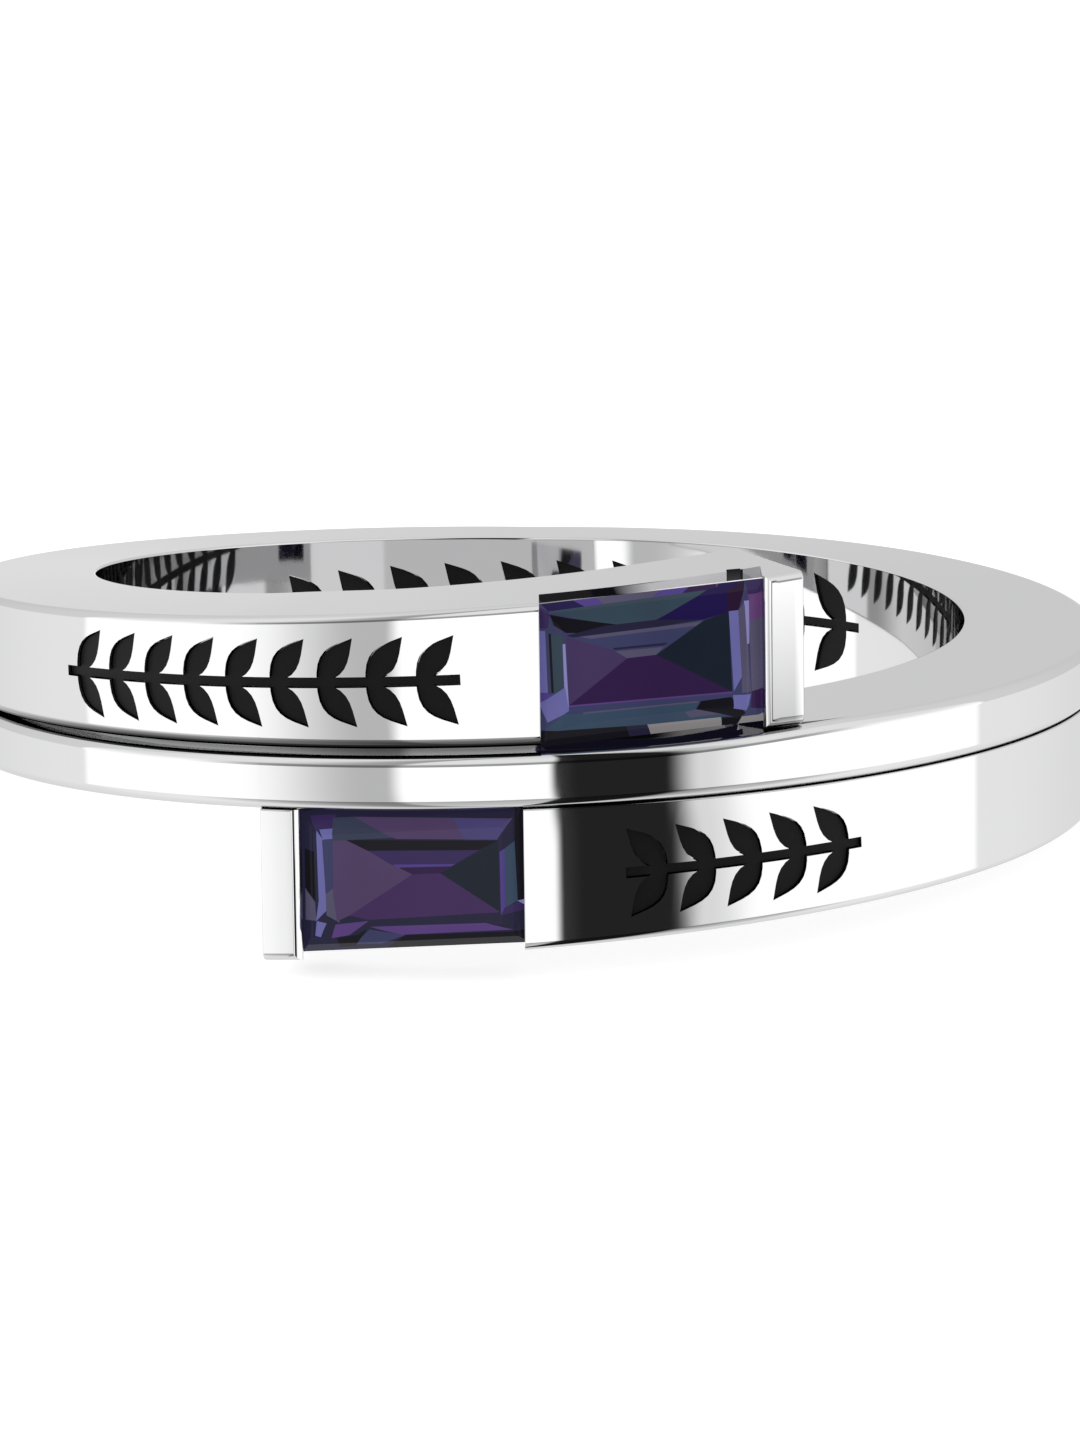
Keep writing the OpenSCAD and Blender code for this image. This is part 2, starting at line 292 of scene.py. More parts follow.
@dataclass
class BandSection:
    """Cross-section of the whole coil at an azimuth, as radius and height pairs."""

    coil: Coil
    inner_edge: float = 0.05
    strand_edge: float = 0.15
    middle_edge: float = 0.2
    joint_edge: float = 0.2
    lower_joint_edge: float = 0.03
    least_edge: float = 0.01
    hand_over: tuple[float, float] = (120.0, 175.0)
    arc_steps: int = 6
    inner_steps: int = 3

    def arc(self, radius: float, height: float, size: float, start: float,
            steps: int) -> list[SectionPoint]:
        """A quarter circle inside a corner.

        Args:
            radius: The corner's radius from the finger's axis.
            height: The corner's height.
            size: Radius of the quarter circle.
            start: Direction of its first point from its centre: 180 rises to the top of an inner
                corner, 90 falls from the top of an outer one, 0 falls to the foot of an outer one.
            steps: Number of segments.

        Returns:
            Points from the first to the last direction, which is 90 degrees less.
        """
        size = max(size, 1e-4)
        side = -1 if start == 180 else 1
        up = -1 if start == 0 else 1
        centre = (radius - side * size, height - up * size)
        turns = [start - 90 * k / steps for k in range(steps + 1)]
        return [(centre[0] + size * cos_deg(t), centre[1] + size * sin_deg(t)) for t in turns]

    def shared_arc(self, radius: float, height: float, size: float, share: float) -> list[SectionPoint]:
        """An outer top edge whose points the upper and the middle strand's arcs share.

        Args:
            radius: The corner's radius from the finger's axis.
            height: The corner's height.
            size: Radius of the quarter circle.
            share: Part of the quarter circle that the upper strand's points take.

        Returns:
            Points for the upper strand's two arcs, the joint's two corners and the middle strand's arc.
        """
        n, split = self.arc_steps, 90 * (1 - share)
        first = [90 - 90 * share * k / n for k in range(n + 1)]
        last = [split * (1 - k / n) for k in range(n + 1)]
        turns = first + [split] * (n + 3) + last
        return [(radius - size + size * cos_deg(t), height - size + size * sin_deg(t)) for t in turns]

    def upper_half(self, azimuth: float, present: bool, inset: float, gap_on: bool) -> list[SectionPoint]:
        """Points from the inner wall over the upper strand to the middle strand's face.

        Args:
            azimuth: Where the section is.
            present: Whether the upper strand is there, rather than ended.
            inset: How far the strand's own faces are drawn in, for its rounded end.
            gap_on: Whether the joint opens into a gap, as under the upper strand.

        Returns:
            Radius and height pairs, always the same number.
        """
        coil = self.coil
        joint = coil.joint_depth(azimuth)
        wall = coil.wall_radius(azimuth)
        strand_wall = wall - coil.strand_step * joint
        root = coil.middle_top(azimuth)
        gap = coil.open_gap(azimuth) if gap_on else 0.0
        groove = self.middle_edge * joint + (coil.gap_depth - self.middle_edge) * gap / coil.gap
        floor = strand_wall - groove
        blend = 1 - joint
        shared = (self.strand_edge + self.middle_edge) / 2
        middle_edge = self.middle_edge * joint
        if not present:
            middle_edge = self.middle_edge + (shared - self.middle_edge) * blend
        joint_corners = [(floor, root), (floor, root - gap)]
        middle_arc = self.arc(wall, root - gap, middle_edge, 90, self.arc_steps)
        if not present:
            top = self.arc(coil.bore_radius, root, self.inner_edge, 180, self.inner_steps)
            handed_over = smooth_ramp(azimuth, *self.hand_over)
            if handed_over > 0:
                outer = self.shared_arc(wall, root, middle_edge, handed_over)
            else:
                outer = [joint_corners[0]] * (2 * self.arc_steps + 2) + joint_corners + middle_arc
            return [top[0], top[0], *top, *outer]
        top = coil.strand_top(azimuth) - inset
        inner = coil.bore_radius + inset
        outer = strand_wall - inset
        strand_edge = self.strand_edge + (shared - self.strand_edge) * blend
        joint_edge = self.joint_edge if gap_on else self.lower_joint_edge
        return [
            (coil.bore_radius, root),
            (inner, root),
            *self.arc(inner, top, max(self.inner_edge - inset, self.least_edge), 180, self.inner_steps),
            *self.arc(outer, top, max(strand_edge - inset, 2 * self.least_edge), 90, self.arc_steps),
            *self.arc(outer, root, joint_edge * joint, 0, self.arc_steps),
            *joint_corners,
            *middle_arc,
        ]

    def whole(self, azimuth: float, after_mark: bool, insets: tuple[float, float]) -> list[SectionPoint]:
        """The closed section.

        Args:
            azimuth: Where the section is.
            after_mark: At an end's own azimuth, whether this is the station just after it.
            insets: How far the upper and the lower strand's faces are drawn in.

        Returns:
            Radius and height pairs round the section.
        """
        end = self.coil.end_azimuth
        upper_on = azimuth < end or (azimuth == end and not after_mark)
        lower_on = azimuth > -end or (azimuth == -end and after_mark)
        upper = self.upper_half(azimuth, upper_on, insets[0], True)
        lower = self.upper_half(-azimuth, lower_on, insets[1], False)
        return upper + [(r, -z) for r, z in reversed(lower)]


@dataclass
class PocketSizes:
    """The notch, the seat, the window and the slot round a stone, mostly in its own directions."""

    left_x: float = 0.17
    right_x: float = 4.285
    wall_radius: float = 10.1
    left_corner: float = 0.015
    right_corner: float = 0.15
    side_reach: float = 1.2
    floor_drop: float = 0.002
    clearance: float = 0.03
    window_length: float = 3.0
    window_height: float = 1.7
    window_start: float = 0.7
    window_depth: float = 2.6
    slot_x: float = 3.65
    slot_width: float = 0.26
    slot_front: float = 11.05
    slot_back: float = 10.0
    slot_rise: float = 0.05
    # Heights over which the slot's walls are darkened with painted shade, from none to full
    slot_shade: tuple[float, float] = (1.0, 3.0)
    top_clear: float = 8.0


@dataclass
class StoneCut:
    """A step-cut stone with upright ends, whose upper and lower edges slope along the strand."""

    length: float = 4.32
    height: float = 2.66
    turn: float = 12.0
    tilt: float = 4.0
    middle_x: float = -0.16
    middle_z: float = 1.97
    girdle: float = 11.35
    girdle_height: float = 0.1

    def levels(self) -> list[tuple[float, float, float]]:
        """Half length, half height and way outwards of each level, from the keel to the table."""
        half_l, half_h = self.length / 2, self.height / 2
        return [
            (0.43, 0.03, -1.3),
            (half_l - 0.95, half_h - 0.62, -0.92),
            (half_l - 0.42, half_h - 0.24, -0.5),
            (half_l, half_h, -self.girdle_height),
            (half_l, half_h, 0.0),
            (half_l - 0.16, half_h - 0.16, 0.2),
            (half_l - 0.42, half_h - 0.42, 0.36),
        ]

    def to_ring(self, along: float, across: float, out: float) -> RingPoint:
        """A point given along the stone, across it and outwards from its girdle."""
        x = self.middle_x + along
        z = self.middle_z + across + along * math.tan(math.radians(self.tilt))
        rho = self.girdle + out
        return (
            x * cos_deg(self.turn) + rho * sin_deg(self.turn),
            x * sin_deg(self.turn) - rho * cos_deg(self.turn),
            z,
        )

    def solid(self, name: str, grow: float, turn: Turn) -> bpy.types.Object:
        """The closed stone, or the seat that it sits in.

        Args:
            name: The object's name.
            grow: Clearance added all round.
            turn: Which strand it is in.

        Returns:
            The new object in the ring's frame.
        """
        levels = self.levels()
        last = len(levels) - 1
        points: list[RingPoint] = []
        for i, (half_l, half_h, out) in enumerate(levels):
            step = -grow if i == 0 else grow if i >= GIRDLE_LEVEL else 0.0
            points += [
                self.to_ring(s * (half_l + grow), t * (half_h + grow), out + step) for s, t in CORNERS
            ]
        faces = [
            (4 * i + k, 4 * i + (k + 1) % 4, 4 * i + 4 + (k + 1) % 4, 4 * i + 4 + k)
            for i in range(last) for k in range(4)
        ]
        faces += [(0, 1, 2, 3), tuple(4 * last + k for k in range(4))]
        return mesh_object(name, turned(points, turn), faces)


class Glow(Enum):
    """Painted colours of the light and shade that a facet throws back, as the eye sees them from 0 to
    255.
    """

    PLUM = (72, 56, 96)
    WINE = (53, 33, 74)
    GRAPE = (70, 47, 94)
    MAUVE = (84, 66, 104)
    NIGHT = (31, 38, 50)
    SLATE = (58, 74, 88)
    STORM = (64, 66, 102)
    IRIS = (78, 72, 122)
    HAZE = (60, 66, 88)
    INDIGO = (35, 25, 76)
    NAVY = (42, 40, 64)
    SHADE_BLACK = (26, 25, 32)
    GARNET = (44, 26, 52)
    TEAL = (60, 78, 100)
    SMOKE = (88, 84, 110)
    DUSK = (60, 46, 92)
    VIOLET = (84, 66, 140)
    LILAC = (92, 66, 128)
    ORCHID = (104, 68, 122)
    PERIWINKLE = (110, 108, 170)
    LAVENDER = (142, 138, 194)
    ASH = (150, 146, 148)
    FROST = (250, 248, 252)


@dataclass(frozen=True)
class Pane:
    """One painted flash of reflected light and shade: its outline is given along and across the stone,
    seen from the front.
    """

    glow: Glow
    outline: tuple[tuple[float, float], ...]


# Painted flashes of reflected light and painted shade on each stone's crown and table, as outlines.
UPPER_PANES = (
    Pane(Glow.DUSK, ((-2.1, 1.4), (-1.85, 1.2), (-1.9, 0.9), (-2.3, 0.9), (-2.3, 1.4))),
    Pane(Glow.INDIGO, ((-1.95, 1.4), (-1.35, 1.4), (-1.15, 1.2), (-1.85, 1.2))),
    Pane(Glow.VIOLET, ((-1.35, 1.4), (-0.9, 1.4), (-0.8, 1.2), (-1.15, 1.2))),
    Pane(Glow.SMOKE, ((-0.9, 1.4), (0.3, 1.4), (0.05, 1.2), (-0.8, 1.2))),
    Pane(Glow.VIOLET, ((0.3, 1.4), (0.85, 1.4), (0.6, 1.2), (0.05, 1.2))),
    Pane(Glow.WINE, ((0.85, 1.4), (1.4, 1.4), (1.4, 1.2), (0.6, 1.2))),
    Pane(Glow.ORCHID, ((1.35, 1.4), (1.65, 1.4), (1.55, 1.25), (1.35, 1.25))),
    Pane(Glow.SLATE, ((-1.85, 1.2), (1.15, 1.25), (0.15, 0.85), (-0.85, 0.85))),
    Pane(Glow.SHADE_BLACK, (
        (-1.85, 1.15), (-1.5, 1.05), (-0.65, 0.85), (-1.2, 0.75), (-1.6, 0.8), (-1.8, 0.95),
    )),
    Pane(Glow.INDIGO, ((1.15, 1.25), (1.9, 1.4), (1.5, 0.85), (1.0, 0.75), (0.1, 0.85))),
    Pane(Glow.GARNET, ((1.5, 1.2), (1.9, 1.35), (1.65, 0.85), (1.45, 0.85))),
    Pane(Glow.NAVY, ((-1.6, 0.75), (-0.85, 0.85), (0.1, 0.85), (1.0, 0.75), (-1.35, 0.65))),
    Pane(Glow.STORM, ((-1.6, 0.7), (1.0, 0.72), (0.2, 0.35), (-0.75, 0.38))),
    Pane(Glow.SMOKE, ((-1.35, 0.7), (1.0, 0.72), (0.85, 0.65), (-1.15, 0.64))),
    Pane(Glow.NAVY, ((-0.75, 0.42), (0.3, 0.4), (0.2, 0.36), (-0.72, 0.38))),
    Pane(Glow.SMOKE, ((-0.7, 0.35), (0.2, 0.33), (0.05, 0.2), (-0.5, 0.2))),
    Pane(Glow.PLUM, ((-1.6, 0.72), (-0.75, 0.38), (-0.5, 0.2), (-1.65, -0.55))),
    Pane(Glow.WINE, ((-1.65, -0.55), (-0.5, 0.2), (0.05, 0.2), (1.42, -0.65))),
    Pane(Glow.NIGHT, ((0.05, 0.2), (1.0, 0.74), (1.47, 0.85), (1.42, -0.65))),
    Pane(Glow.PERIWINKLE, ((1.47, 0.85), (1.65, 0.85), (1.62, -0.4), (1.45, -0.65))),
    Pane(Glow.SMOKE, ((1.65, 0.85), (1.8, 1.0), (1.78, -0.7), (1.6, -0.7), (1.62, -0.4))),
    Pane(Glow.LAVENDER, ((1.78, 1.0), (1.88, 1.0), (1.82, 0.2), (1.77, 0.2))),
    Pane(Glow.DUSK, ((1.9, 1.4), (2.3, 1.4), (2.3, 1.1), (1.88, 1.1))),
    Pane(Glow.ORCHID, ((1.88, 1.1), (2.3, 1.1), (2.3, 0.65), (1.85, 0.6))),
    Pane(Glow.SMOKE, ((1.85, 0.6), (2.3, 0.65), (2.3, -0.7), (1.8, -0.7))),
    Pane(Glow.WINE, ((1.8, -0.7), (2.3, -0.7), (2.3, -1.1), (1.75, -1.0))),
    Pane(Glow.PERIWINKLE, ((-2.12, 0.85), (-1.95, 0.85), (-2.0, -0.3), (-2.2, -0.3))),
    Pane(Glow.SHADE_BLACK, ((-1.9, 0.8), (-1.86, 0.8), (-1.9, -0.3), (-1.94, -0.3))),
    Pane(Glow.SLATE, ((-1.86, 0.8), (-1.66, 0.75), (-1.7, -0.2), (-1.9, -0.35))),
    Pane(Glow.LAVENDER, ((-1.68, 0.6), (-1.63, 0.6), (-1.66, -0.6), (-1.72, -0.3))),
    Pane(Glow.PERIWINKLE, ((-2.15, -0.5), (-1.7, -0.2), (-1.66, -0.65), (-2.05, -0.85))),
    Pane(Glow.VIOLET, ((-2.2, -0.3), (-1.9, -0.33), (-2.15, -0.5))),
    Pane(Glow.STORM, ((-2.3, -0.55), (-2.15, -0.5), (-2.05, -0.85), (-2.2, -1.0))),
    Pane(Glow.STORM, ((-1.66, -0.55), (1.42, -0.65), (1.4, -0.75), (-1.5, -0.72))),
    Pane(Glow.LILAC, ((-1.66, -0.55), (1.42, -0.65), (1.42, -0.68), (-1.66, -0.58))),
    Pane(Glow.TEAL, (
        (-1.75, -0.7), (-1.4, -0.74), (0.78, -0.78), (0.71, -0.9), (1.2, -1.06),
        (1.29, -1.14), (-0.23, -1.1), (-1.64, -1.02), (-2.11, -0.99),
    )),
    Pane(Glow.SMOKE, ((-1.4, -0.71), (0.76, -0.75), (0.76, -0.78), (-1.4, -0.74))),
    Pane(Glow.SMOKE, ((0.5, -0.93), (0.75, -0.9), (1.2, -1.06), (0.6, -1.06))),
    Pane(Glow.SHADE_BLACK, (
        (0.82, -0.76), (0.71, -0.9), (1.2, -1.06), (1.54, -1.19), (1.67, -1.11), (1.39, -0.75),
    )),
    Pane(Glow.PERIWINKLE, ((1.43, -0.72), (1.78, -0.75), (1.68, -1.05), (1.43, -0.98))),
    Pane(Glow.SHADE_BLACK, ((-2.15, -1.0), (-1.64, -1.02), (-0.6, -1.08), (-0.5, -1.4), (-2.3, -1.4))),
    Pane(Glow.NAVY, ((-0.6, -1.08), (-0.2, -1.1), (-0.1, -1.4), (-0.5, -1.4))),
    Pane(Glow.ASH, ((-0.2, -1.1), (1.2, -1.13), (1.25, -1.4), (-0.1, -1.4))),
    Pane(Glow.SHADE_BLACK, ((1.2, -1.13), (1.6, -1.17), (1.55, -1.4), (1.25, -1.4))),
    Pane(Glow.ASH, ((1.6, -1.17), (2.3, -1.17), (2.3, -1.4), (1.55, -1.4))),
)

LOWER_PANES = (
    Pane(Glow.NAVY, ((-2.3, 1.4), (2.3, 1.4), (2.3, -1.4), (-2.3, -1.4))),
    Pane(Glow.SHADE_BLACK, ((-2.0, 0.65), (-1.78, 0.6), (-1.82, -0.35), (-2.05, -0.1))),
    Pane(Glow.SMOKE, ((-2.05, -0.1), (-1.85, -0.35), (-1.85, -0.7), (-2.1, -0.7))),
    Pane(Glow.PERIWINKLE, (
        (-1.7, 1.0), (-1.57, 0.83), (-1.58, -0.13), (-1.63, -0.51), (-1.86, -0.71), (-1.76, -0.31),
    )),
    Pane(Glow.DUSK, ((-1.85, 1.25), (-1.35, 1.25), (-1.38, 1.0), (-1.72, 1.0))),
    Pane(Glow.PERIWINKLE, ((-1.65, 1.01), (-1.35, 1.02), (-1.37, 0.83), (-1.57, 0.83))),
    Pane(Glow.STORM, ((-1.6, 0.82), (-1.4, 0.82), (-1.48, -0.15), (-1.62, -0.2))),
    Pane(Glow.SMOKE, ((-1.62, -0.2), (-1.47, -0.1), (-1.4, -0.75), (-1.64, -0.6))),
    Pane(Glow.HAZE, ((-1.4, 1.2), (-1.0, 1.2), (-0.2, 0.8), (-1.4, 0.8))),
    Pane(Glow.MAUVE, ((-1.0, 1.2), (2.0, 1.05), (1.7, 0.68), (-0.2, 0.78))),
    Pane(Glow.IRIS, ((0.9, 1.1), (1.95, 1.02), (1.7, 0.68), (1.1, 0.71))),
    Pane(Glow.MAUVE, (
        (-1.4, 0.8), (-1.1, 0.8), (0.05, 0.1), (-1.2, -0.62), (-1.45, -0.72), (-1.48, -0.2),
    )),
    Pane(Glow.SHADE_BLACK, ((-1.15, 0.8), (1.72, 0.66), (1.35, 0.5), (-0.75, 0.58))),
    Pane(Glow.DUSK, ((-0.75, 0.58), (1.35, 0.5), (0.85, 0.25), (-0.3, 0.28))),
    Pane(Glow.VIOLET, ((-0.3, 0.3), (0.88, 0.26), (0.8, 0.22), (-0.2, 0.24))),
    Pane(Glow.WINE, ((-0.18, 0.23), (0.78, 0.2), (0.58, 0.1), (0.05, 0.1))),
    Pane(Glow.GRAPE, ((-1.2, -0.62), (0.05, 0.1), (0.58, 0.1), (1.65, -0.68), (-0.85, -0.72))),
    Pane(Glow.NIGHT, ((0.58, 0.1), (1.72, 0.66), (1.65, -0.68))),
    Pane(Glow.VIOLET, ((1.73, 0.45), (1.82, 0.5), (1.74, -0.72), (1.66, -0.72))),
    Pane(Glow.TEAL, ((1.82, 0.5), (2.0, 0.62), (1.96, -0.5), (1.75, -0.6))),
    Pane(Glow.SHADE_BLACK, ((2.05, 1.2), (2.3, 1.2), (2.3, -0.5), (1.96, -0.5), (2.0, 0.62))),
    Pane(Glow.LAVENDER, ((1.95, -0.5), (2.3, -0.55), (2.3, -0.68), (2.1, -0.65))),
    Pane(Glow.DUSK, ((1.74, -0.6), (1.95, -0.52), (2.1, -0.68), (1.66, -0.74))),
    Pane(Glow.LILAC, ((-1.48, -0.78), (-0.85, -0.74), (-1.25, -1.0), (-1.6, -1.05))),
    Pane(Glow.LILAC, ((-0.83, -0.85), (1.36, -0.87), (1.84, -1.03), (-0.27, -1.04))),
    Pane(Glow.STORM, ((-1.2, -1.2), (-0.85, -0.9), (-0.2, -1.05), (-0.7, -1.22))),
    Pane(Glow.SHADE_BLACK, ((-1.5, -1.05), (-1.1, -1.0), (-0.9, -0.9), (-1.2, -1.25), (-1.5, -1.25))),
    Pane(Glow.PERIWINKLE, ((-1.84, -0.7), (-1.65, -0.75), (-1.8, -1.02), (-1.9, -0.98))),
    Pane(Glow.SHADE_BLACK, ((-0.2, -1.05), (2.3, -1.07), (2.3, -1.4), (-0.65, -1.4))),
)


def inside_outline(point: tuple[float, float], outline: Sequence[tuple[float, float]]) -> bool:
    """Whether a point lies inside a closed outline."""
    x, y = point
    odd = False
    for (x0, y0), (x1, y1) in zip(outline, tuple(outline[1:]) + tuple(outline[:1])):
        if (y0 > y) != (y1 > y) and x < x0 + (y - y0) * (x1 - x0) / (y1 - y0):
            odd = not odd
    return odd


def to_linear(level: int) -> float:
    """A colour level from 0 to 255 as linear light."""
    c = level / 255
    return c / 12.92 if c <= 0.04045 else ((c + 0.055) / 1.055) ** 2.4


@dataclass
class Gem:
    """A faceted stone: the crown and table carry painted flashes of the light and shade that the cut
    throws back, and its back sides painted reflections and painted shade.
    """

    node: str
    turn: Turn
    panes: tuple[Pane, ...]
    cut: StoneCut
    pose: RestPose
    ground: Glow = Glow.STORM
    # Painted reflections and painted shade on the back sides, and how dark the painted shade makes the
    # white at the dark corner
    back_glows: tuple[Glow, ...] = (Glow.NAVY, Glow.FROST, Glow.FROST, Glow.FROST, Glow.SHADE_BLACK, Glow.SMOKE)
    back_shade: float = 0.02

    def rise(self, along: float, across: float) -> float:
        """Height of the crown or table over the girdle."""
        crown = self.cut.levels()[GIRDLE_LEVEL:]
        edge = min(self.cut.length / 2 - abs(along), self.cut.height / 2 - abs(across))
        steps = [(self.cut.length / 2 - half_l, out) for half_l, _, out in crown]
        for (d0, w0), (d1, w1) in zip(steps, steps[1:]):
            if edge <= d1:
                return w0 + (w1 - w0) * max(edge - d0, 0) / (d1 - d0)
        return steps[-1][1]

    def drawing(self) -> tuple[list[tuple[float, float]], list[tuple[int, ...]], list[Glow]]:
        """Cuts the front of the stone along its facet edges and the outlines of its painted flashes.

        Returns:
            Points along and across the stone, faces, and the colour of each face.
        """
        half_l, half_h = self.cut.length / 2, self.cut.height / 2
        lean = sin_deg(self.cut.tilt)
        points: list[Vector] = []
        edges: list[tuple[int, int]] = []

        def trace(outline: Sequence[tuple[float, float]]) -> None:
            """Adds a closed outline, kept inside the stone."""
            first = len(points)
            kept = [(max(-half_l, min(half_l, x)), max(-half_h, min(half_h, y))) for x, y in outline]
            points.extend(Vector(q) for q in kept)
            edges.extend((first + k, first + (k + 1) % len(kept)) for k in range(len(kept)))

        for level_l, level_h, _ in self.cut.levels()[GIRDLE_LEVEL:]:
            trace([(sx * level_l, sy * level_h) for sx, sy in CORNERS])
        table_l, table_h, _ = self.cut.levels()[-1]
        for sx, sy in CORNERS:
            trace(((sx * half_l, sy * half_h), (sx * table_l, sy * table_h)))
        for pane in self.panes:
            trace([(x - y * lean, y) for x, y in pane.outline])
        same_point = 1e-4
        cut_points, _, faces, *_ = delaunay_2d_cdt(points, edges, [], 1, same_point)
        glows = []
        for face in faces:
            middle = tuple(sum(cut_points[k][i] for k in face) / len(face) for i in (0, 1))
            middle = (middle[0] + middle[1] * lean, middle[1])
            hits = [pane.glow for pane in self.panes if inside_outline(middle, pane.outline)]
            glows.append(hits[-1] if hits else self.ground)
        return [tuple(q) for q in cut_points], [tuple(f) for f in faces], glows

    def build(self, material: bpy.types.Material) -> bpy.types.Object:
        """Makes the stone in its seat.

        Args:
            material: The gem's finish, which reads the painted facet colours.

        Returns:
            The new object.
        """
        flat, faces, glows = self.drawing()
        s = self.turn.value
        points = [self.cut.to_ring(s * u, s * v, self.rise(u, v)) for u, v in flat]
        n = len(BACK_CORNERS)
        for i, (half_l, half_h, out) in enumerate(self.cut.levels()[:GIRDLE_LEVEL + 1]):
            base = len(points)
            points += [self.cut.to_ring(s * a * half_l, s * b * half_h, out) for a, b in BACK_CORNERS]
            if i == 0:
                faces.append(tuple(range(base, base + n)))
                glows.append(Glow.SHADE_BLACK)
                continue
            for k, glow in enumerate(self.back_glows):
                faces.append((base - n + k, base - n + (k + 1) % n, base + (k + 1) % n, base + k))
                glows.append(glow)
        mesh = bpy.data.meshes.new(self.node + "_cut")
        mesh.from_pydata(turned(points, self.turn), [], faces)
        # Each face's painted colour of reflected light and shade, with painted shade at the back's dark
        # corner.
        painted_tones = mesh.color_attributes.new("facet_colour_and_painted_light", "FLOAT_COLOR", "CORNER")
        for polygon in mesh.polygons:
            light = [to_linear(level) for level in glows[polygon.index].value]
            for corner in polygon.loop_indices:
                number = mesh.loops[corner].vertex_index - len(flat)
                at_dark = number >= 0 and number % n == DARK_BACK_CORNER
                shade = self.back_shade if at_dark and glows[polygon.index] is Glow.FROST else 1.0
                painted_tones.data[corner].color = (*(c * shade for c in light), 1.0)
        obj = bpy.data.objects.new(self.node + "_cut", mesh)
        bpy.context.scene.collection.objects.link(obj)
        same_point = 1e-4
        shape = bmesh.new()
        shape.from_mesh(mesh)
        bmesh.ops.remove_doubles(shape, verts=shape.verts, dist=same_point)
        bmesh.ops.recalc_face_normals(shape, faces=shape.faces)
        shape.to_mesh(mesh)
        shape.free()
        mesh.materials.append(material)
        self.pose.place(obj)
        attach(obj, "root")
        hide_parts(self.node)
        return obj


@dataclass(frozen=True)
class EnamelInlays:
    """The black enamel in the recesses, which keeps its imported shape."""

    nodes: tuple[str, ...] = ("upper_enamel", "lower_enamel", "inside_enamel")

    def fill(self, packed: dict[str, bpy.types.Object], material: bpy.types.Material) -> None:
        """Gives each packed inlay the enamel's finish."""
        for name in self.nodes:
            dress(packed[name], material)
            LOG.info("%s: %d faces", name, len(packed[name].data.polygons))


@dataclass
class Sprig:
    """A row of leaf pairs on a stem."""

    leaf_length: float
    leaf_width: float
    zone: tuple[float, float]
    spacing: float
    depth: float = 0.28
    stem_width: float = 0.2
    stem_reach: float = 0.62
    leaf_foot: float = 0.3
    leaf_angle: float = 48.0
    leaf_fullness: float = 1.25
    leaf_taper: float = 0.5
    leaf_steps: int = 8

    def leaf(self) -> list[tuple[float, float]]:
        """Outline of one leaf, from its foot at the origin to its tip."""
        upper = []
        for k in range(self.leaf_steps + 1):
            fullness = self.leaf_fullness - self.leaf_taper * k / self.leaf_steps
            half = self.leaf_width / 2 * sin_deg(180 * k / self.leaf_steps) * fullness
            upper.append((self.leaf_length * k / self.leaf_steps, half))
        return upper + [(x, -h) for x, h in reversed(upper[1:-1])]

    def pair(self, spacing: float) -> list[list[tuple[float, float]]]:
        """Outlines of a stem piece and its two leaves."""
        reach, half = spacing * self.stem_reach, self.stem_width / 2
        foot = spacing * self.leaf_foot
        outlines = [[(-reach, -half), (reach, -half), (reach, half), (-reach, half)]]
        for side in (-1, 1):
            c, s = cos_deg(self.leaf_angle), side * sin_deg(self.leaf_angle)
            outlines.append([(x * c - y * s - foot, x * s + y * c) for x, y in self.leaf()])
        return outlines

    def places(self, radius: float) -> tuple[float, list[float]]:
        """Spacing along a wall of the given radius, and the azimuth of each pair."""
        arc = math.radians(self.zone[1] - self.zone[0]) * radius
        count = round(arc / self.spacing)
        step = (self.zone[1] - self.zone[0]) / count
        return arc / count, [self.zone[0] + step * (k + 0.5) for k in range(count)]

    def prisms(self, azimuth: float, spacing: float, height: float, slope: float,
               near: Callable[[Vector, Vector], float], far: float) -> list[bpy.types.Object]:
        """Closed prisms of one pair, from its floor in the wall to the open air.

        Args:
            azimuth: Where the pair is.
            spacing: Distance between pairs.
            height: The pair's height.
            slope: Turn of the stem's line in degrees.
            near: Distance from a start point along a direction to the recess's floor.
            far: Distance from the finger's axis at which the prisms end.

        Returns:
            The objects, one per outline.
        """
        out = Vector((sin_deg(azimuth), -cos_deg(azimuth), 0))
        right = Vector((cos_deg(azimuth), sin_deg(azimuth), 0))
        c, s = cos_deg(slope), sin_deg(slope)
        objects = []
        for outline in self.pair(spacing):
            turned_outline = [(x * c - y * s, height + x * s + y * c) for x, y in outline]
            starts = [right * x + Vector((0, 0, z)) for x, z in turned_outline]
            floor = [p + out * near(p, out) for p in starts]
            top = [p + out * far for p in starts]
            n = len(outline)
            faces = [(k, (k + 1) % n, n + (k + 1) % n, n + k) for k in range(n)]
            faces += [tuple(range(n)), tuple(range(n, 2 * n))]
            objects.append(mesh_object("leaf_tool", [tuple(p) for p in floor + top], faces))
        return objects


def ray_to_circle(centre: Vector, radius: float) -> Callable[[Vector, Vector], float]:
    """Makes a function that gives the way along a level ray to a round wall.

    Args:
        centre: The wall's axis, seen from above.
        radius: The wall's radius.

    Returns:
        A function of a start point and a direction.
    """
    def way(start: Vector, direction: Vector) -> float:
        """Distance from the start to the wall along the direction."""
        from_axis = (start - centre).to_2d()
        b = from_axis.dot(direction.to_2d())
        return -b + math.sqrt(b * b - from_axis.length_squared + radius**2)
    return way


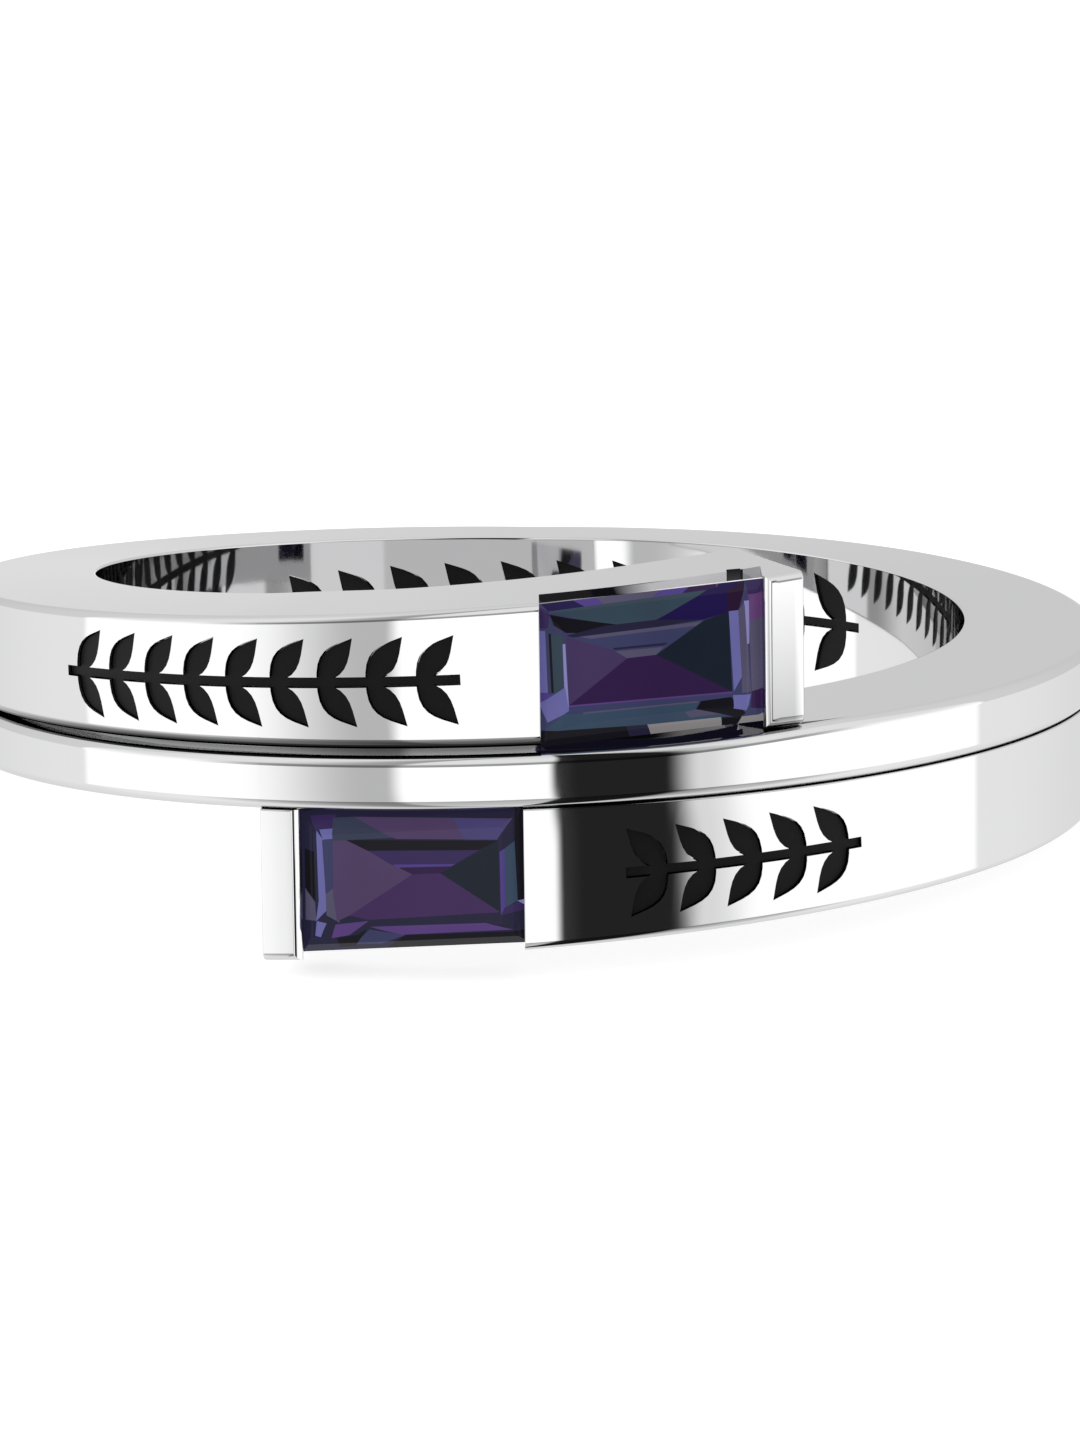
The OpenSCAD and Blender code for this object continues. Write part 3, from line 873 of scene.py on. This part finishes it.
@dataclass
class Band:
    """All the metal: the coil with its end bars, joint lines, stone notches and recesses."""

    coil: Coil
    pose: RestPose
    pocket: PocketSizes = field(default_factory=PocketSizes)
    stone: StoneCut = field(default_factory=StoneCut)
    upper_sprig: Sprig = field(default_factory=lambda: Sprig(1.12, 0.5, (-47.5, -6.5), 0.9))
    lower_sprig: Sprig = field(default_factory=lambda: Sprig(1.12, 0.5, (-30.5, -8.5), 0.9))
    inside_sprig: Sprig = field(default_factory=lambda: Sprig(1.4, 0.64, (129, 216), 1.15, depth=0.2))
    inside_height: float = 0.0
    sprigs_out: float = 13.0
    sprigs_in: float = 7.6
    station_step: float = 0.75
    turn_in: float = 11.0
    end_round: float = 0.04
    end_round_steps: int = 3

    def stations(self) -> list[tuple[float, bool, tuple[float, float]]]:
        """Azimuth, after-the-end flag and end insets of each section, once round the ring."""
        end = self.coil.end_azimuth
        count = round(360 / self.station_step)
        plain = [-180 + 360 * k / count for k in range(count)]
        width = math.degrees(self.end_round / self.coil.wall_radius(end))
        keep = [a for a in plain if abs(abs(a) - end) > 2 * width]
        rows = [(a, False, (0.0, 0.0)) for a in keep]
        for k in range(self.end_round_steps + 1):
            t = 90 * k / self.end_round_steps
            inset = self.end_round * (1 - cos_deg(t))
            away = width * (1 - sin_deg(t))
            rows.append((end - away, False, (inset, 0.0)))
            rows.append((-end + away, True, (0.0, inset)))
        rows += [(end, True, (0.0, 0.0)), (-end, False, (0.0, 0.0))]
        order = {(-end, False): -1, (end, True): 1}
        return sorted(rows, key=lambda r: (r[0], order.get((r[0], r[1]), 0)))

    def swept_azimuth(self, azimuth: float, radius: float) -> float:
        """Azimuth of a section's point: near an end the sections turn into the end's face."""
        end = self.coil.end_azimuth
        share = 1 - smooth_ramp(abs(abs(azimuth) - end), 0, self.turn_in)
        lean = self.coil.face_azimuth(radius) - self.coil.face_azimuth(self.coil.wall_radius(end))
        return azimuth + math.copysign(lean * share, azimuth)

    def swept(self) -> bpy.types.Object:
        """The coil with its rounded edges and joint lines, before anything is cut."""
        section = BandSection(self.coil)
        points: list[RingPoint] = []
        rows = self.stations()
        for azimuth, after, insets in rows:
            for r, z in section.whole(azimuth, after, insets):
                a = self.swept_azimuth(azimuth, r)
                points.append((r * sin_deg(a), -r * cos_deg(a), z))
        n = len(points) // len(rows)
        faces = []
        for i in range(len(rows)):
            here, there = i * n, (i + 1) % len(rows) * n
            faces += [(here + k, here + (k + 1) % n, there + (k + 1) % n, there + k) for k in range(n)]
        return mesh_object("band_polished", points, faces)

    def beside_stone(self, x: float, y: float) -> Vector:
        """A place seen from above, as its ways along the stone and outwards from the axis."""
        c, s = cos_deg(self.stone.turn), sin_deg(self.stone.turn)
        return Vector((x * c + y * s, x * s - y * c))

    def back_wall(self, along: float) -> float:
        """Distance outwards of the wall behind a stone, at a place along it."""
        centre = self.beside_stone(0, -self.coil.outer_shift)
        return centre.y + math.sqrt(self.pocket.wall_radius**2 - (along - centre.x) ** 2)

    def side_place(self, side: int, radius: float) -> Vector:
        """Where a notch's side meets a wall of a radius about the outer wall's axis."""
        x = self.pocket.left_x if side < 0 else self.pocket.right_x
        return self.beside_stone(x, -self.coil.outer_shift - math.sqrt(radius**2 - x**2))

    def notch_side(self, side: int) -> list[tuple[float, float]]:
        """Outline of a notch's side wall, with the rounded edge at the outer wall.

        Args:
            side: -1 for the wall at the strand, 1 for the wall at the end bar.

        Returns:
            Points along the stone and outwards, from the inner wall to the open air.
        """
        size = self.pocket.left_corner if side < 0 else self.pocket.right_corner
        back = self.side_place(side, self.pocket.wall_radius)
        corner = self.side_place(side, self.coil.outer_radius - self.coil.strand_step)
        normal = (corner - self.beside_stone(0, -self.coil.outer_shift)).normalized()
        inward = (back - corner).normalized()
        away = Vector((normal.y, -normal.x)) * side
        reach = size / math.tan(inward.angle(away) / 2)
        first, last = corner + inward * reach, corner + away * reach
        middle = first + Vector((-inward.y, inward.x)) * side * size
        steps = 8
        arc = []
        for k in range(steps + 1):
            spoke = (first - middle).lerp(last - middle, k / steps).normalized()
            arc.append(middle + spoke * size)
        outside = last + normal * self.pocket.side_reach
        return [tuple(back), *[tuple(p) for p in arc], tuple(outside)]

    def notch_tool(self, turn: Turn) -> bpy.types.Object:
        """The solid that cuts the notch in front of a stone, with a floor along the coil."""
        left, right = self.notch_side(-1), self.notch_side(1)
        columns = 24
        gap_on = turn is Turn.UPPER
        c, s = cos_deg(self.stone.turn), sin_deg(self.stone.turn)
        floor: list[RingPoint] = []
        for i, ((u0, rho0), (u1, rho1)) in enumerate(zip(left, right)):
            for j in range(columns + 1):
                u = u0 + (u1 - u0) * j / columns
                rho = rho0 + (rho1 - rho0) * j / columns if i else self.back_wall(u)
                x, y = u * c + rho * s, u * s - rho * c
                azimuth = math.degrees(math.atan2(x, -y))
                drop = (self.coil.open_gap(azimuth) if gap_on else 0.0) + self.pocket.floor_drop
                floor.append((x, y, self.coil.middle_top(azimuth) - drop))
        roof = [(x, y, self.pocket.top_clear) for x, y, _ in floor]
        rows, n, count = len(left), columns + 1, len(floor)
        faces: list[tuple[int, ...]] = []
        for i in range(rows - 1):
            for j in range(columns):
                quad = (i * n + j, i * n + j + 1, (i + 1) * n + j + 1, (i + 1) * n + j)
                faces += [quad, tuple(count + k for k in reversed(quad))]
        rim = list(range(n)) + [i * n + columns for i in range(1, rows)]
        rim += [(rows - 1) * n + j for j in range(columns - 1, -1, -1)]
        rim += [i * n for i in range(rows - 2, 0, -1)]
        faces += [(a, b, count + b, count + a) for a, b in zip(rim, rim[1:] + rim[:1])]
        return mesh_object("notch_tool", turned(floor + roof, turn), faces)

    def window_tool(self, turn: Turn) -> bpy.types.Object:
        """The window behind a stone, from the finger hole to the lower part of the seat."""
        p = self.pocket
        points = [
            self.stone.to_ring(a * p.window_length / 2, b * p.window_height / 2, -out)
            for out in (p.window_start, p.window_start + p.window_depth) for a, b in CORNERS
        ]
        return mesh_object("window_tool", turned(points, turn), BLOCK_FACES)

    def slot_tool(self, turn: Turn) -> bpy.types.Object:
        """The narrow slot down the wall behind a stone."""
        p = self.pocket
        x0, x1 = p.slot_x, p.slot_x + p.slot_width
        azimuth = math.degrees(math.atan2(p.slot_x, p.slot_back))
        low = self.coil.middle_top(azimuth) + p.slot_rise
        plan = [(x0, -p.slot_front), (x1, -p.slot_front), (x1, -p.slot_back), (x0, -p.slot_back)]
        points = [(x, y, z) for z in (low, p.top_clear) for x, y in plan]
        return mesh_object("slot_tool", turned(points, turn), BLOCK_FACES)

    def sprig_tools(self) -> list[bpy.types.Object]:
        """Every leaf and stem prism that is cut out of the walls."""
        tools: list[bpy.types.Object] = []
        outer_axis = Vector((0, -self.coil.outer_shift, 0))
        for sprig, turn in ((self.upper_sprig, Turn.UPPER), (self.lower_sprig, Turn.LOWER)):
            near = ray_to_circle(outer_axis, self.coil.outer_radius - sprig.depth)
            spacing, places = sprig.places(self.coil.outer_radius)
            for a in places:
                height, slope = self.coil.strand_middle(a), self.coil.strand_slope(a)
                made = sprig.prisms(a, spacing, height, slope, near, self.sprigs_out)
                for obj in made:
                    if turn is Turn.LOWER:
                        obj.data.transform(Matrix.Rotation(math.pi, 4, "Y"))
                tools += made
        inside = self.inside_sprig
        near = ray_to_circle(Vector((0, 0, 0)), self.coil.bore_radius + inside.depth)
        spacing, places = inside.places(self.coil.bore_radius)
        for a in places:
            tools += inside.prisms(a, spacing, self.inside_height, 0.0, near, self.sprigs_in)
        return tools

    def polish(self, obj: bpy.types.Object) -> None:
        """Shades the metal smoothly between its sharp edges, with the true normals of its walls."""
        sharp_angle, face_weight = 32, 60
        outer_reach, inner_reach, same_way = 0.012, 0.004, 0.9997
        mesh = obj.data
        mesh.polygons.foreach_set("use_smooth", [True] * len(mesh.polygons))
        mesh.set_sharp_from_angle(angle=math.radians(sharp_angle))
        weighted = obj.modifiers.new("even", "WEIGHTED_NORMAL")
        weighted.keep_sharp = True
        weighted.weight = face_weight
        even = baked_mesh(obj)
        obj.modifiers.clear()
        obj.data = even
        normals = np.zeros(len(even.loops) * 3)
        even.corner_normals.foreach_get("vector", normals)
        normals = normals.reshape(-1, 3)
        points = np.zeros(len(even.vertices) * 3)
        even.vertices.foreach_get("co", points)
        points = points.reshape(-1, 3)
        corner_vertex = np.zeros(len(even.loops), dtype=int)
        even.loops.foreach_get("vertex_index", corner_vertex)
        corner_face = np.repeat(np.arange(len(even.polygons)), [p.loop_total for p in even.polygons])
        face_normals = np.array([p.normal for p in even.polygons])[corner_face]
        axis = np.array([0.0, -self.coil.outer_shift, 0.0])
        for centre, sign in ((axis, 1.0), (np.zeros(3), -1.0)):
            spoke = (points - centre)[corner_vertex]
            spoke[:, 2] = 0
            radius = np.linalg.norm(spoke, axis=1)
            spoke *= sign / radius[:, None]
            if sign > 0:
                near = radius > self.coil.outer_radius - self.coil.strand_step - outer_reach
            else:
                near = radius < self.coil.bore_radius + inner_reach
            wall = near & (np.einsum("ij,ij->i", spoke, face_normals) > same_way)
            normals[wall] = spoke[wall]
        even.normals_split_custom_set(normals.tolist())

    def in_notch(self, x: float, y: float) -> bool:
        """Whether a place on the upper strand, seen from above, lies in its notch."""
        place, margin = self.beside_stone(x, y), 0.01
        beside = self.pocket.left_x < x < self.pocket.right_x
        return beside and place.y > self.back_wall(place.x) - margin

    def in_slot(self, x: float, y: float) -> bool:
        """Whether a place on the upper strand, seen from above, lies in its slot or on its walls."""
        p, margin, lean = self.pocket, 0.01, 0.93
        across = p.slot_x - margin < x < p.slot_x + p.slot_width + margin
        return across and p.slot_back - margin < -y < self.coil.outer_shift + p.wall_radius * lean

    def paint_joint_shade(self, obj: bpy.types.Object) -> None:
        """Paints shade into the metal's joints, at the end bar's foot and down the slots, for the
        silver's finish to read.
        """
        mesh, half_way = obj.data, 0.5
        edge = BandSection(self.coil).joint_edge
        painted_tones = np.zeros(len(mesh.loops))
        for polygon in mesh.polygons:
            x, y, z = polygon.center
            for turn in Turn:
                way = turn.value
                upright = way * polygon.normal.z < half_way
                # Painted shade down the slot's upright walls, darker towards the top.
                if self.in_slot(way * x, y) and way * z > self.pocket.slot_shade[0] and upright:
                    for corner in polygon.loop_indices:
                        height = way * mesh.vertices[mesh.loops[corner].vertex_index].co.z
                        painted_tones[corner] = smooth_ramp(height, *self.pocket.slot_shade)
            # Painted shade in the joint under the upper strand and at the end bar's foot, away from the
            # notches.
            tangent = Vector((-y, x, 0)).normalized()
            if abs(polygon.normal.dot(tangent)) > half_way or self.in_notch(x, y):
                continue
            for corner in polygon.loop_indices:
                p = mesh.vertices[mesh.loops[corner].vertex_index].co
                azimuth, radius = math.degrees(math.atan2(p.x, -p.y)), math.hypot(p.x, p.y)
                painted_tones[corner] = max(painted_tones[corner], self.coil.painted_shade(azimuth, radius, p.z, edge))
        painted_shade = mesh.color_attributes.new("joint_painted_shade", "FLOAT_COLOR", "CORNER")
        colors = np.stack([painted_tones, painted_tones, painted_tones, np.ones_like(painted_tones)], axis=1)
        painted_shade.data.foreach_set("color", colors.ravel())

    def build(self) -> bpy.types.Object:
        """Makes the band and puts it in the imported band's place."""
        obj = self.swept()
        for turn in Turn:
            combine(obj, self.notch_tool(turn), "DIFFERENCE")
            combine(obj, self.slot_tool(turn), "DIFFERENCE")
            combine(obj, self.window_tool(turn), "DIFFERENCE")
            combine(obj, self.stone.solid("seat_tool", self.pocket.clearance, turn), "DIFFERENCE")
        tools = self.sprig_tools()
        cutter = tools[0]
        for tool in tools[1:]:
            combine(cutter, tool, "UNION")
        combine(obj, cutter, "DIFFERENCE")
        self.polish(obj)
        self.paint_joint_shade(obj)
        self.pose.place(obj)
        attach(obj, "root")
        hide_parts("band")
        return obj


class Sock:
    """A shader socket that Python expressions can be made of."""

    def __init__(self, painter: Painter, socket: bpy.types.NodeSocket) -> None:
        """Wraps a node's output socket."""
        self.painter = painter
        self.socket = socket

    def _math(self, operation: str, first: Any, second: Any = None) -> Sock:
        """Adds a Math node on two values."""
        inputs = {0: first} if second is None else {0: first, 1: second}
        return self.painter.node("ShaderNodeMath", {"operation": operation}, inputs)

    def __add__(self, other: Any) -> Sock:
        """Sum."""
        return self._math("ADD", self, other)

    def __radd__(self, other: Any) -> Sock:
        """Sum with a number first."""
        return self._math("ADD", other, self)

    def __sub__(self, other: Any) -> Sock:
        """Difference."""
        return self._math("SUBTRACT", self, other)

    def __rsub__(self, other: Any) -> Sock:
        """Difference from a number."""
        return self._math("SUBTRACT", other, self)

    def __mul__(self, other: Any) -> Sock:
        """Product."""
        return self._math("MULTIPLY", self, other)

    def __rmul__(self, other: Any) -> Sock:
        """Product with a number first."""
        return self._math("MULTIPLY", other, self)


class Painter:
    """Makes nodes in one node tree."""

    def __init__(self, tree: bpy.types.NodeTree) -> None:
        """Starts with an empty tree."""
        self.tree = tree
        tree.nodes.clear()

    def node(self, kind: str, settings: dict[str, Any] | None = None,
             inputs: dict[Any, Any] | None = None, output: int | str = 0) -> Sock:
        """Adds a node, sets it up and links its sockets.

        Args:
            kind: The node's type.
            settings: Attributes that are set first.
            inputs: Values or wrapped sockets by input name or number.
            output: Which output is returned.

        Returns:
            The wrapped output socket.
        """
        made = self.tree.nodes.new(kind)
        for key, value in (settings or {}).items():
            setattr(made, key, value)
        for key, value in (inputs or {}).items():
            if isinstance(value, Sock):
                self.tree.links.new(value.socket, made.inputs[key])
            else:
                made.inputs[key].default_value = value
        return Sock(self, made.outputs[output] if made.outputs else None)

    def mix(self, factor: Any, first: Any, second: Any) -> Sock:
        """Mixes two colours by a factor."""
        return self.node("ShaderNodeMix", {"data_type": "RGBA"}, {0: factor, 6: first, 7: second}, 2)

    def ramp(self, value: Sock, start: float, end: float) -> Sock:
        """Eases from 0 to 1 while a value goes from the start to the end."""
        ease = {"interpolation_type": "SMOOTHSTEP"}
        ends = {"Value": value, "From Min": start, "From Max": end}
        return self.node("ShaderNodeMapRange", ease, ends)

    def noise(self, where: Sock, scale: float, detail: float, roughness: float = 0.5) -> Sock:
        """Soft random cloud from 0 to 1."""
        look = {"Vector": where, "Scale": scale, "Detail": detail, "Roughness": roughness}
        return self.node("ShaderNodeTexNoise", None, look)


def shader_material(name: str) -> tuple[bpy.types.Material, Painter]:
    """A new material and the painter of its empty node tree."""
    mat = bpy.data.materials.new(name)
    mat.use_nodes = True
    return mat, Painter(mat.node_tree)


@dataclass(frozen=True)
class PolishedSilver:
    """Mirror-polished plated silver with the faintest polishing haze, and painted shade in its joints and
    slots.
    """

    color: tuple[float, float, float] = (0.58, 0.58, 0.584)
    joint_shade_color: tuple[float, float, float] = (0.012, 0.012, 0.013)
    roughness: tuple[float, float] = (0.02, 0.05)
    edge_tint: float = 0.75
    haze_scale: float = 900.0
    haze_shade: float = 0.985

    def material(self) -> bpy.types.Material:
        """Makes the material."""
        mat, paint = shader_material("silver_polished")
        where = paint.node("ShaderNodeTexCoord", output="Object")
        haze = paint.noise(where, self.haze_scale, 3.0, 0.6)
        low, high = self.roughness
        hazy = tuple(c * self.haze_shade for c in self.color)
        clean = paint.mix(haze, (*self.color, 1.0), (*hazy, 1.0))
        # Painted shade: the silver is darkened towards near black where the band's attribute says so.
        painted_shade = paint.node("ShaderNodeVertexColor", {"layer_name": "joint_painted_shade"})
        tint = paint.mix(painted_shade, clean, (*self.joint_shade_color, 1.0))
        shader = paint.node("ShaderNodeBsdfPrincipled", None, {
            "Base Color": tint, "Metallic": 1.0, "Roughness": haze * (high - low) + low,
            "Specular Tint": (self.edge_tint,) * 3 + (1.0,),
        })
        paint.node("ShaderNodeOutputMaterial", None, {"Surface": shader})
        return mat


@dataclass(frozen=True)
class BlackEnamel:
    """Satin black enamel with a fine orange-peel surface."""

    color: tuple[float, float, float] = (0.0068, 0.0068, 0.0074)
    lighter: float = 1.5
    cloud_scale: float = 1500.0
    grain_scale: float = 9000.0
    grain: float = 0.12
    grain_height: float = 0.00002
    roughness: tuple[float, float] = (0.34, 0.49)

    def material(self) -> bpy.types.Material:
        """Makes the material."""
        mat, paint = shader_material("enamel_black")
        where = paint.node("ShaderNodeTexCoord", output="Object")
        peel = paint.noise(where, self.grain_scale, 2.0)
        cloud = paint.noise(where, self.cloud_scale, 3.0)
        lighter = tuple(c * self.lighter for c in self.color)
        tint = paint.mix(cloud, (*self.color, 1.0), (*lighter, 1.0))
        bump = paint.node("ShaderNodeBump", None, {
            "Strength": self.grain, "Distance": self.grain_height, "Height": peel,
        })
        low, high = self.roughness
        shader = paint.node("ShaderNodeBsdfPrincipled", None, {
            "Base Color": tint, "Roughness": cloud * (high - low) + low, "Normal": bump,
            "Specular IOR Level": 0.09,
        })
        paint.node("ShaderNodeOutputMaterial", None, {"Surface": shader})
        return mat


@dataclass(frozen=True)
class VioletGem:
    """A violet stone: each facet glows with its own painted tone of light and shade, which drifts a
    little across it.
    """

    drift: float = 0.3
    drift_scale: float = 700.0
    glow: float = 0.6
    body: float = 0.25
    roughness: tuple[float, float] = (0.02, 0.04)

    def material(self) -> bpy.types.Material:
        """Makes the material."""
        mat, paint = shader_material("gem_violet")
        tone = paint.node("ShaderNodeVertexColor", {"layer_name": "facet_colour_and_painted_light"})
        where = paint.node("ShaderNodeTexCoord", output="Object")
        cloud = paint.noise(where, self.drift_scale, 1.0)
        gain = cloud * self.drift + (1 - self.drift / 2)
        scale = {"operation": "SCALE"}
        glow = paint.node("ShaderNodeVectorMath", scale, {0: tone, "Scale": gain})
        body = paint.node("ShaderNodeVectorMath", scale, {0: tone, "Scale": gain * self.body})
        low, high = self.roughness
        # The painted facet colours are given out as a glow, so the stone shines without any lamp.
        shader = paint.node("ShaderNodeBsdfPrincipled", None, {
            "Base Color": body, "Roughness": cloud * (high - low) + low, "Specular IOR Level": 0.07,
            "Emission Color": glow, "Emission Strength": self.glow,
        })
        paint.node("ShaderNodeOutputMaterial", None, {"Surface": shader})
        return mat


@dataclass(frozen=True)
class StudioWhite:
    """The studio's white: a matt surface with a glow of its own, so that it reads as pure white."""

    name: str
    base: float = 0.5
    glow: float = 0.75

    def material(self) -> bpy.types.Material:
        """Makes the material."""
        mat, paint = shader_material(self.name)
        where = paint.node("ShaderNodeTexCoord", output="Object")
        cloud = paint.noise(where, 3.0, 2.0)
        darker = self.base * 0.97
        shade = paint.mix(cloud, (self.base,) * 3 + (1.0,), (darker,) * 3 + (1.0,))
        shader = paint.node("ShaderNodeBsdfPrincipled", None, {
            "Base Color": shade, "Roughness": 0.8, "Specular IOR Level": 0.0,
            "Emission Color": (1.0, 1.0, 1.0, 1.0), "Emission Strength": self.glow,
        })
        paint.node("ShaderNodeOutputMaterial", None, {"Surface": shader})
        return mat


@dataclass(frozen=True)
class PhotoCamera:
    """The photograph's viewpoint, found from the ring's own lines."""

    distance: float = 140.35
    elevation: float = 9.55
    roll: float = 0.78
    look_x: float = 0.162
    look_z: float = -0.944
    focal_pixels: float = 7000.0
    frame_height: float = 1440.0
    sensor: float = 36.0
    clip: tuple[float, float] = (0.005, 20.0)

    def build(self, pose: RestPose) -> bpy.types.Object:
        """Makes the scene's camera.

        Args:
            pose: How the ring lies on the table.

        Returns:
            The camera object.
        """
        data = bpy.data.cameras.new("photo_camera")
        data.sensor_width = self.sensor
        data.lens = self.sensor * self.focal_pixels / self.frame_height
        data.clip_start, data.clip_end = self.clip
        camera = bpy.data.objects.new("photo_camera", data)
        bpy.context.scene.collection.objects.link(camera)
        c, s = cos_deg(self.elevation), sin_deg(self.elevation)
        right, up, back = Vector((1, 0, 0)), Vector((0, s, c)), Vector((0, -c, s))
        cr, sr = cos_deg(self.roll), sin_deg(self.roll)
        right, up = right * cr - up * sr, right * sr + up * cr
        eye = Vector((self.look_x, 0, self.look_z)) + back * self.distance
        turn = pose.matrix.to_quaternion().to_matrix()
        axes = Matrix((turn @ right, turn @ up, turn @ back)).transposed()
        camera.matrix_world = Matrix.Translation(pose.matrix @ eye) @ axes.to_4x4()
        bpy.context.scene.camera = camera
        return camera


@dataclass(frozen=True)
class Step:
    """A soft edge between two tones, from one angle to another in degrees."""

    start: float
    end: float
    tone: float


@dataclass
class Studio:
    """The pale table, the backdrop and the studio's panels of light.

    The azimuths are those of the directions that the polished metal mirrors, and the elevations
    show as the fine lines along its rounded edges.
    """

    strength: float = 1.76
    rear_edge: tuple[float, float] = (99.0, 101.0)
    flank_edge: tuple[float, float] = (50.0, 75.0)
    panels: tuple[Step, ...] = (
        Step(-62, -32.5, 0.45), Step(-29, -25, 1.0), Step(2.8, 4.9, 0.03), Step(4.9, 9, 0.015),
        Step(26, 33.4, 0.67), Step(34, 45.5, 1.0),
    )
    lower_edge: tuple[float, float] = (-10.45, -10.2)
    lower_shift: float = 1.1
    middle_first: float = 0.6
    middle: tuple[Step, ...] = (
        Step(-80, -45, 0.48), Step(-40, -14, 0.36), Step(-13.5, -12.5, 1.0),
        Step(-7, -5.5, 0.3), Step(12, 25, 0.72), Step(50, 85, 0.61),
    )
    flank_first: float = 0.62
    flank: tuple[Step, ...] = (
        Step(-80, -40, 0.78), Step(-13.5, -12.5, 1.0), Step(-5, 30, 0.72), Step(50, 85, 0.61),
    )
    rear_first: float = 0.62
    rear: tuple[Step, ...] = (Step(-80, -50, 0.73), Step(-30, -15, 0.76), Step(-4, 2, 0.61))
    room_radius: float = 3.0

    @staticmethod
    def profile(paint: Painter, angle: Sock, first: float, steps: Sequence[Step]) -> Sock:
        """The tone at an angle, which starts at the first tone and changes at each step."""
        tone, level = angle * 0.0 + first, first
        for step in steps:
            tone = tone + paint.ramp(angle, step.start, step.end) * (step.tone - level)
            level = step.tone
        return tone

    def light(self, pose: RestPose) -> None:
        """Paints the world: its middle, flanks and rear by elevation, and the panels by azimuth.

        Args:
            pose: How the ring lies on the table; all angles are counted in the ring's own frame.
        """
        world = bpy.data.worlds.new("studio")
        bpy.context.scene.world = world
        world.use_nodes = True
        paint = Painter(world.node_tree)
        way = paint.node("ShaderNodeTexCoord", None, None, "Generated")
        own_way = paint.node("ShaderNodeVectorRotate", {"rotation_type": "EULER_XYZ", "invert": True}, {
            "Vector": way, "Rotation": pose.matrix.to_euler("XYZ"),
        })
        x = paint.node("ShaderNodeSeparateXYZ", None, {0: own_way})
        y, z = (Sock(paint, x.socket.node.outputs[k]) for k in (1, 2))
        degrees = 180 / math.pi
        azimuth = paint.node("ShaderNodeMath", {"operation": "ARCTAN2"}, {0: x, 1: y * -1.0}) * degrees
        elevation = paint.node("ShaderNodeMath", {"operation": "ARCSINE"}, {0: z}) * degrees
        aside = paint.node("ShaderNodeMath", {"operation": "ABSOLUTE"}, {0: azimuth})
        middle = self.profile(paint, elevation, self.middle_first, self.middle)
        flank = self.profile(paint, elevation, self.flank_first, self.flank)
        rear = self.profile(paint, elevation, self.rear_first, self.rear)
        front = middle + paint.ramp(aside, *self.flank_edge) * (flank - middle)
        lower = 1 - paint.ramp(elevation, *self.lower_edge)
        front = front * self.profile(paint, azimuth - lower * self.lower_shift, 1.0, self.panels)
        tone = front + paint.ramp(aside, *self.rear_edge) * (rear - front)
        shader = paint.node("ShaderNodeBackground", None, {"Color": tone, "Strength": self.strength})
        paint.node("ShaderNodeOutputWorld", None, {"Surface": shader})

    def table(self) -> None:
        """The pale table top, which the polished metal doesn't mirror."""
        bpy.ops.mesh.primitive_circle_add(vertices=96, radius=self.room_radius, fill_type="NGON")
        table = bpy.context.object
        table.name = "table_top"
        table.data.materials.append(StudioWhite("table_white").material())
        table.visible_glossy = False

    def backdrop(self) -> None:
        """The white bowl round the studio, which only the camera sees."""
        bpy.ops.mesh.primitive_uv_sphere_add(segments=64, ring_count=32, radius=self.room_radius)
        bowl = bpy.context.object
        bowl.name = "backdrop"
        bowl.data.materials.append(StudioWhite("backdrop_white", base=0.0, glow=1.05).material())
        bowl.visible_diffuse = False
        bowl.visible_glossy = False
        bowl.visible_transmission = False
        bowl.visible_shadow = False


def main() -> None:
    """Builds the ring, its studio and its camera."""
    logging.basicConfig(level=logging.INFO)
    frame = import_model()
    pose = RestPose.from_record(frame["record"])
    coil = Coil()
    silver = PolishedSilver().material()
    band = Band(coil, pose).build()
    dress(band, silver)
    dress(frame["nodes"]["band"], silver)
    LOG.info("band: %d faces", len(band.data.polygons))
    gem = VioletGem().material()
    cut = StoneCut()
    for node, turn, panes in (
        ("upper_stone", Turn.UPPER, UPPER_PANES), ("lower_stone", Turn.LOWER, LOWER_PANES),
    ):
        stone = Gem(node, turn, panes, cut, pose).build(gem)
        dress(frame["nodes"][node], gem)
        LOG.info("%s: %d facets and flashes", node, len(stone.data.polygons))
    EnamelInlays().fill(frame["nodes"], BlackEnamel().material())
    studio = Studio()
    studio.light(pose)
    studio.table()
    studio.backdrop()
    PhotoCamera().build(pose)
    view = bpy.context.scene.view_settings
    view.view_transform = "Standard"


if __name__ == "__main__":
    main()
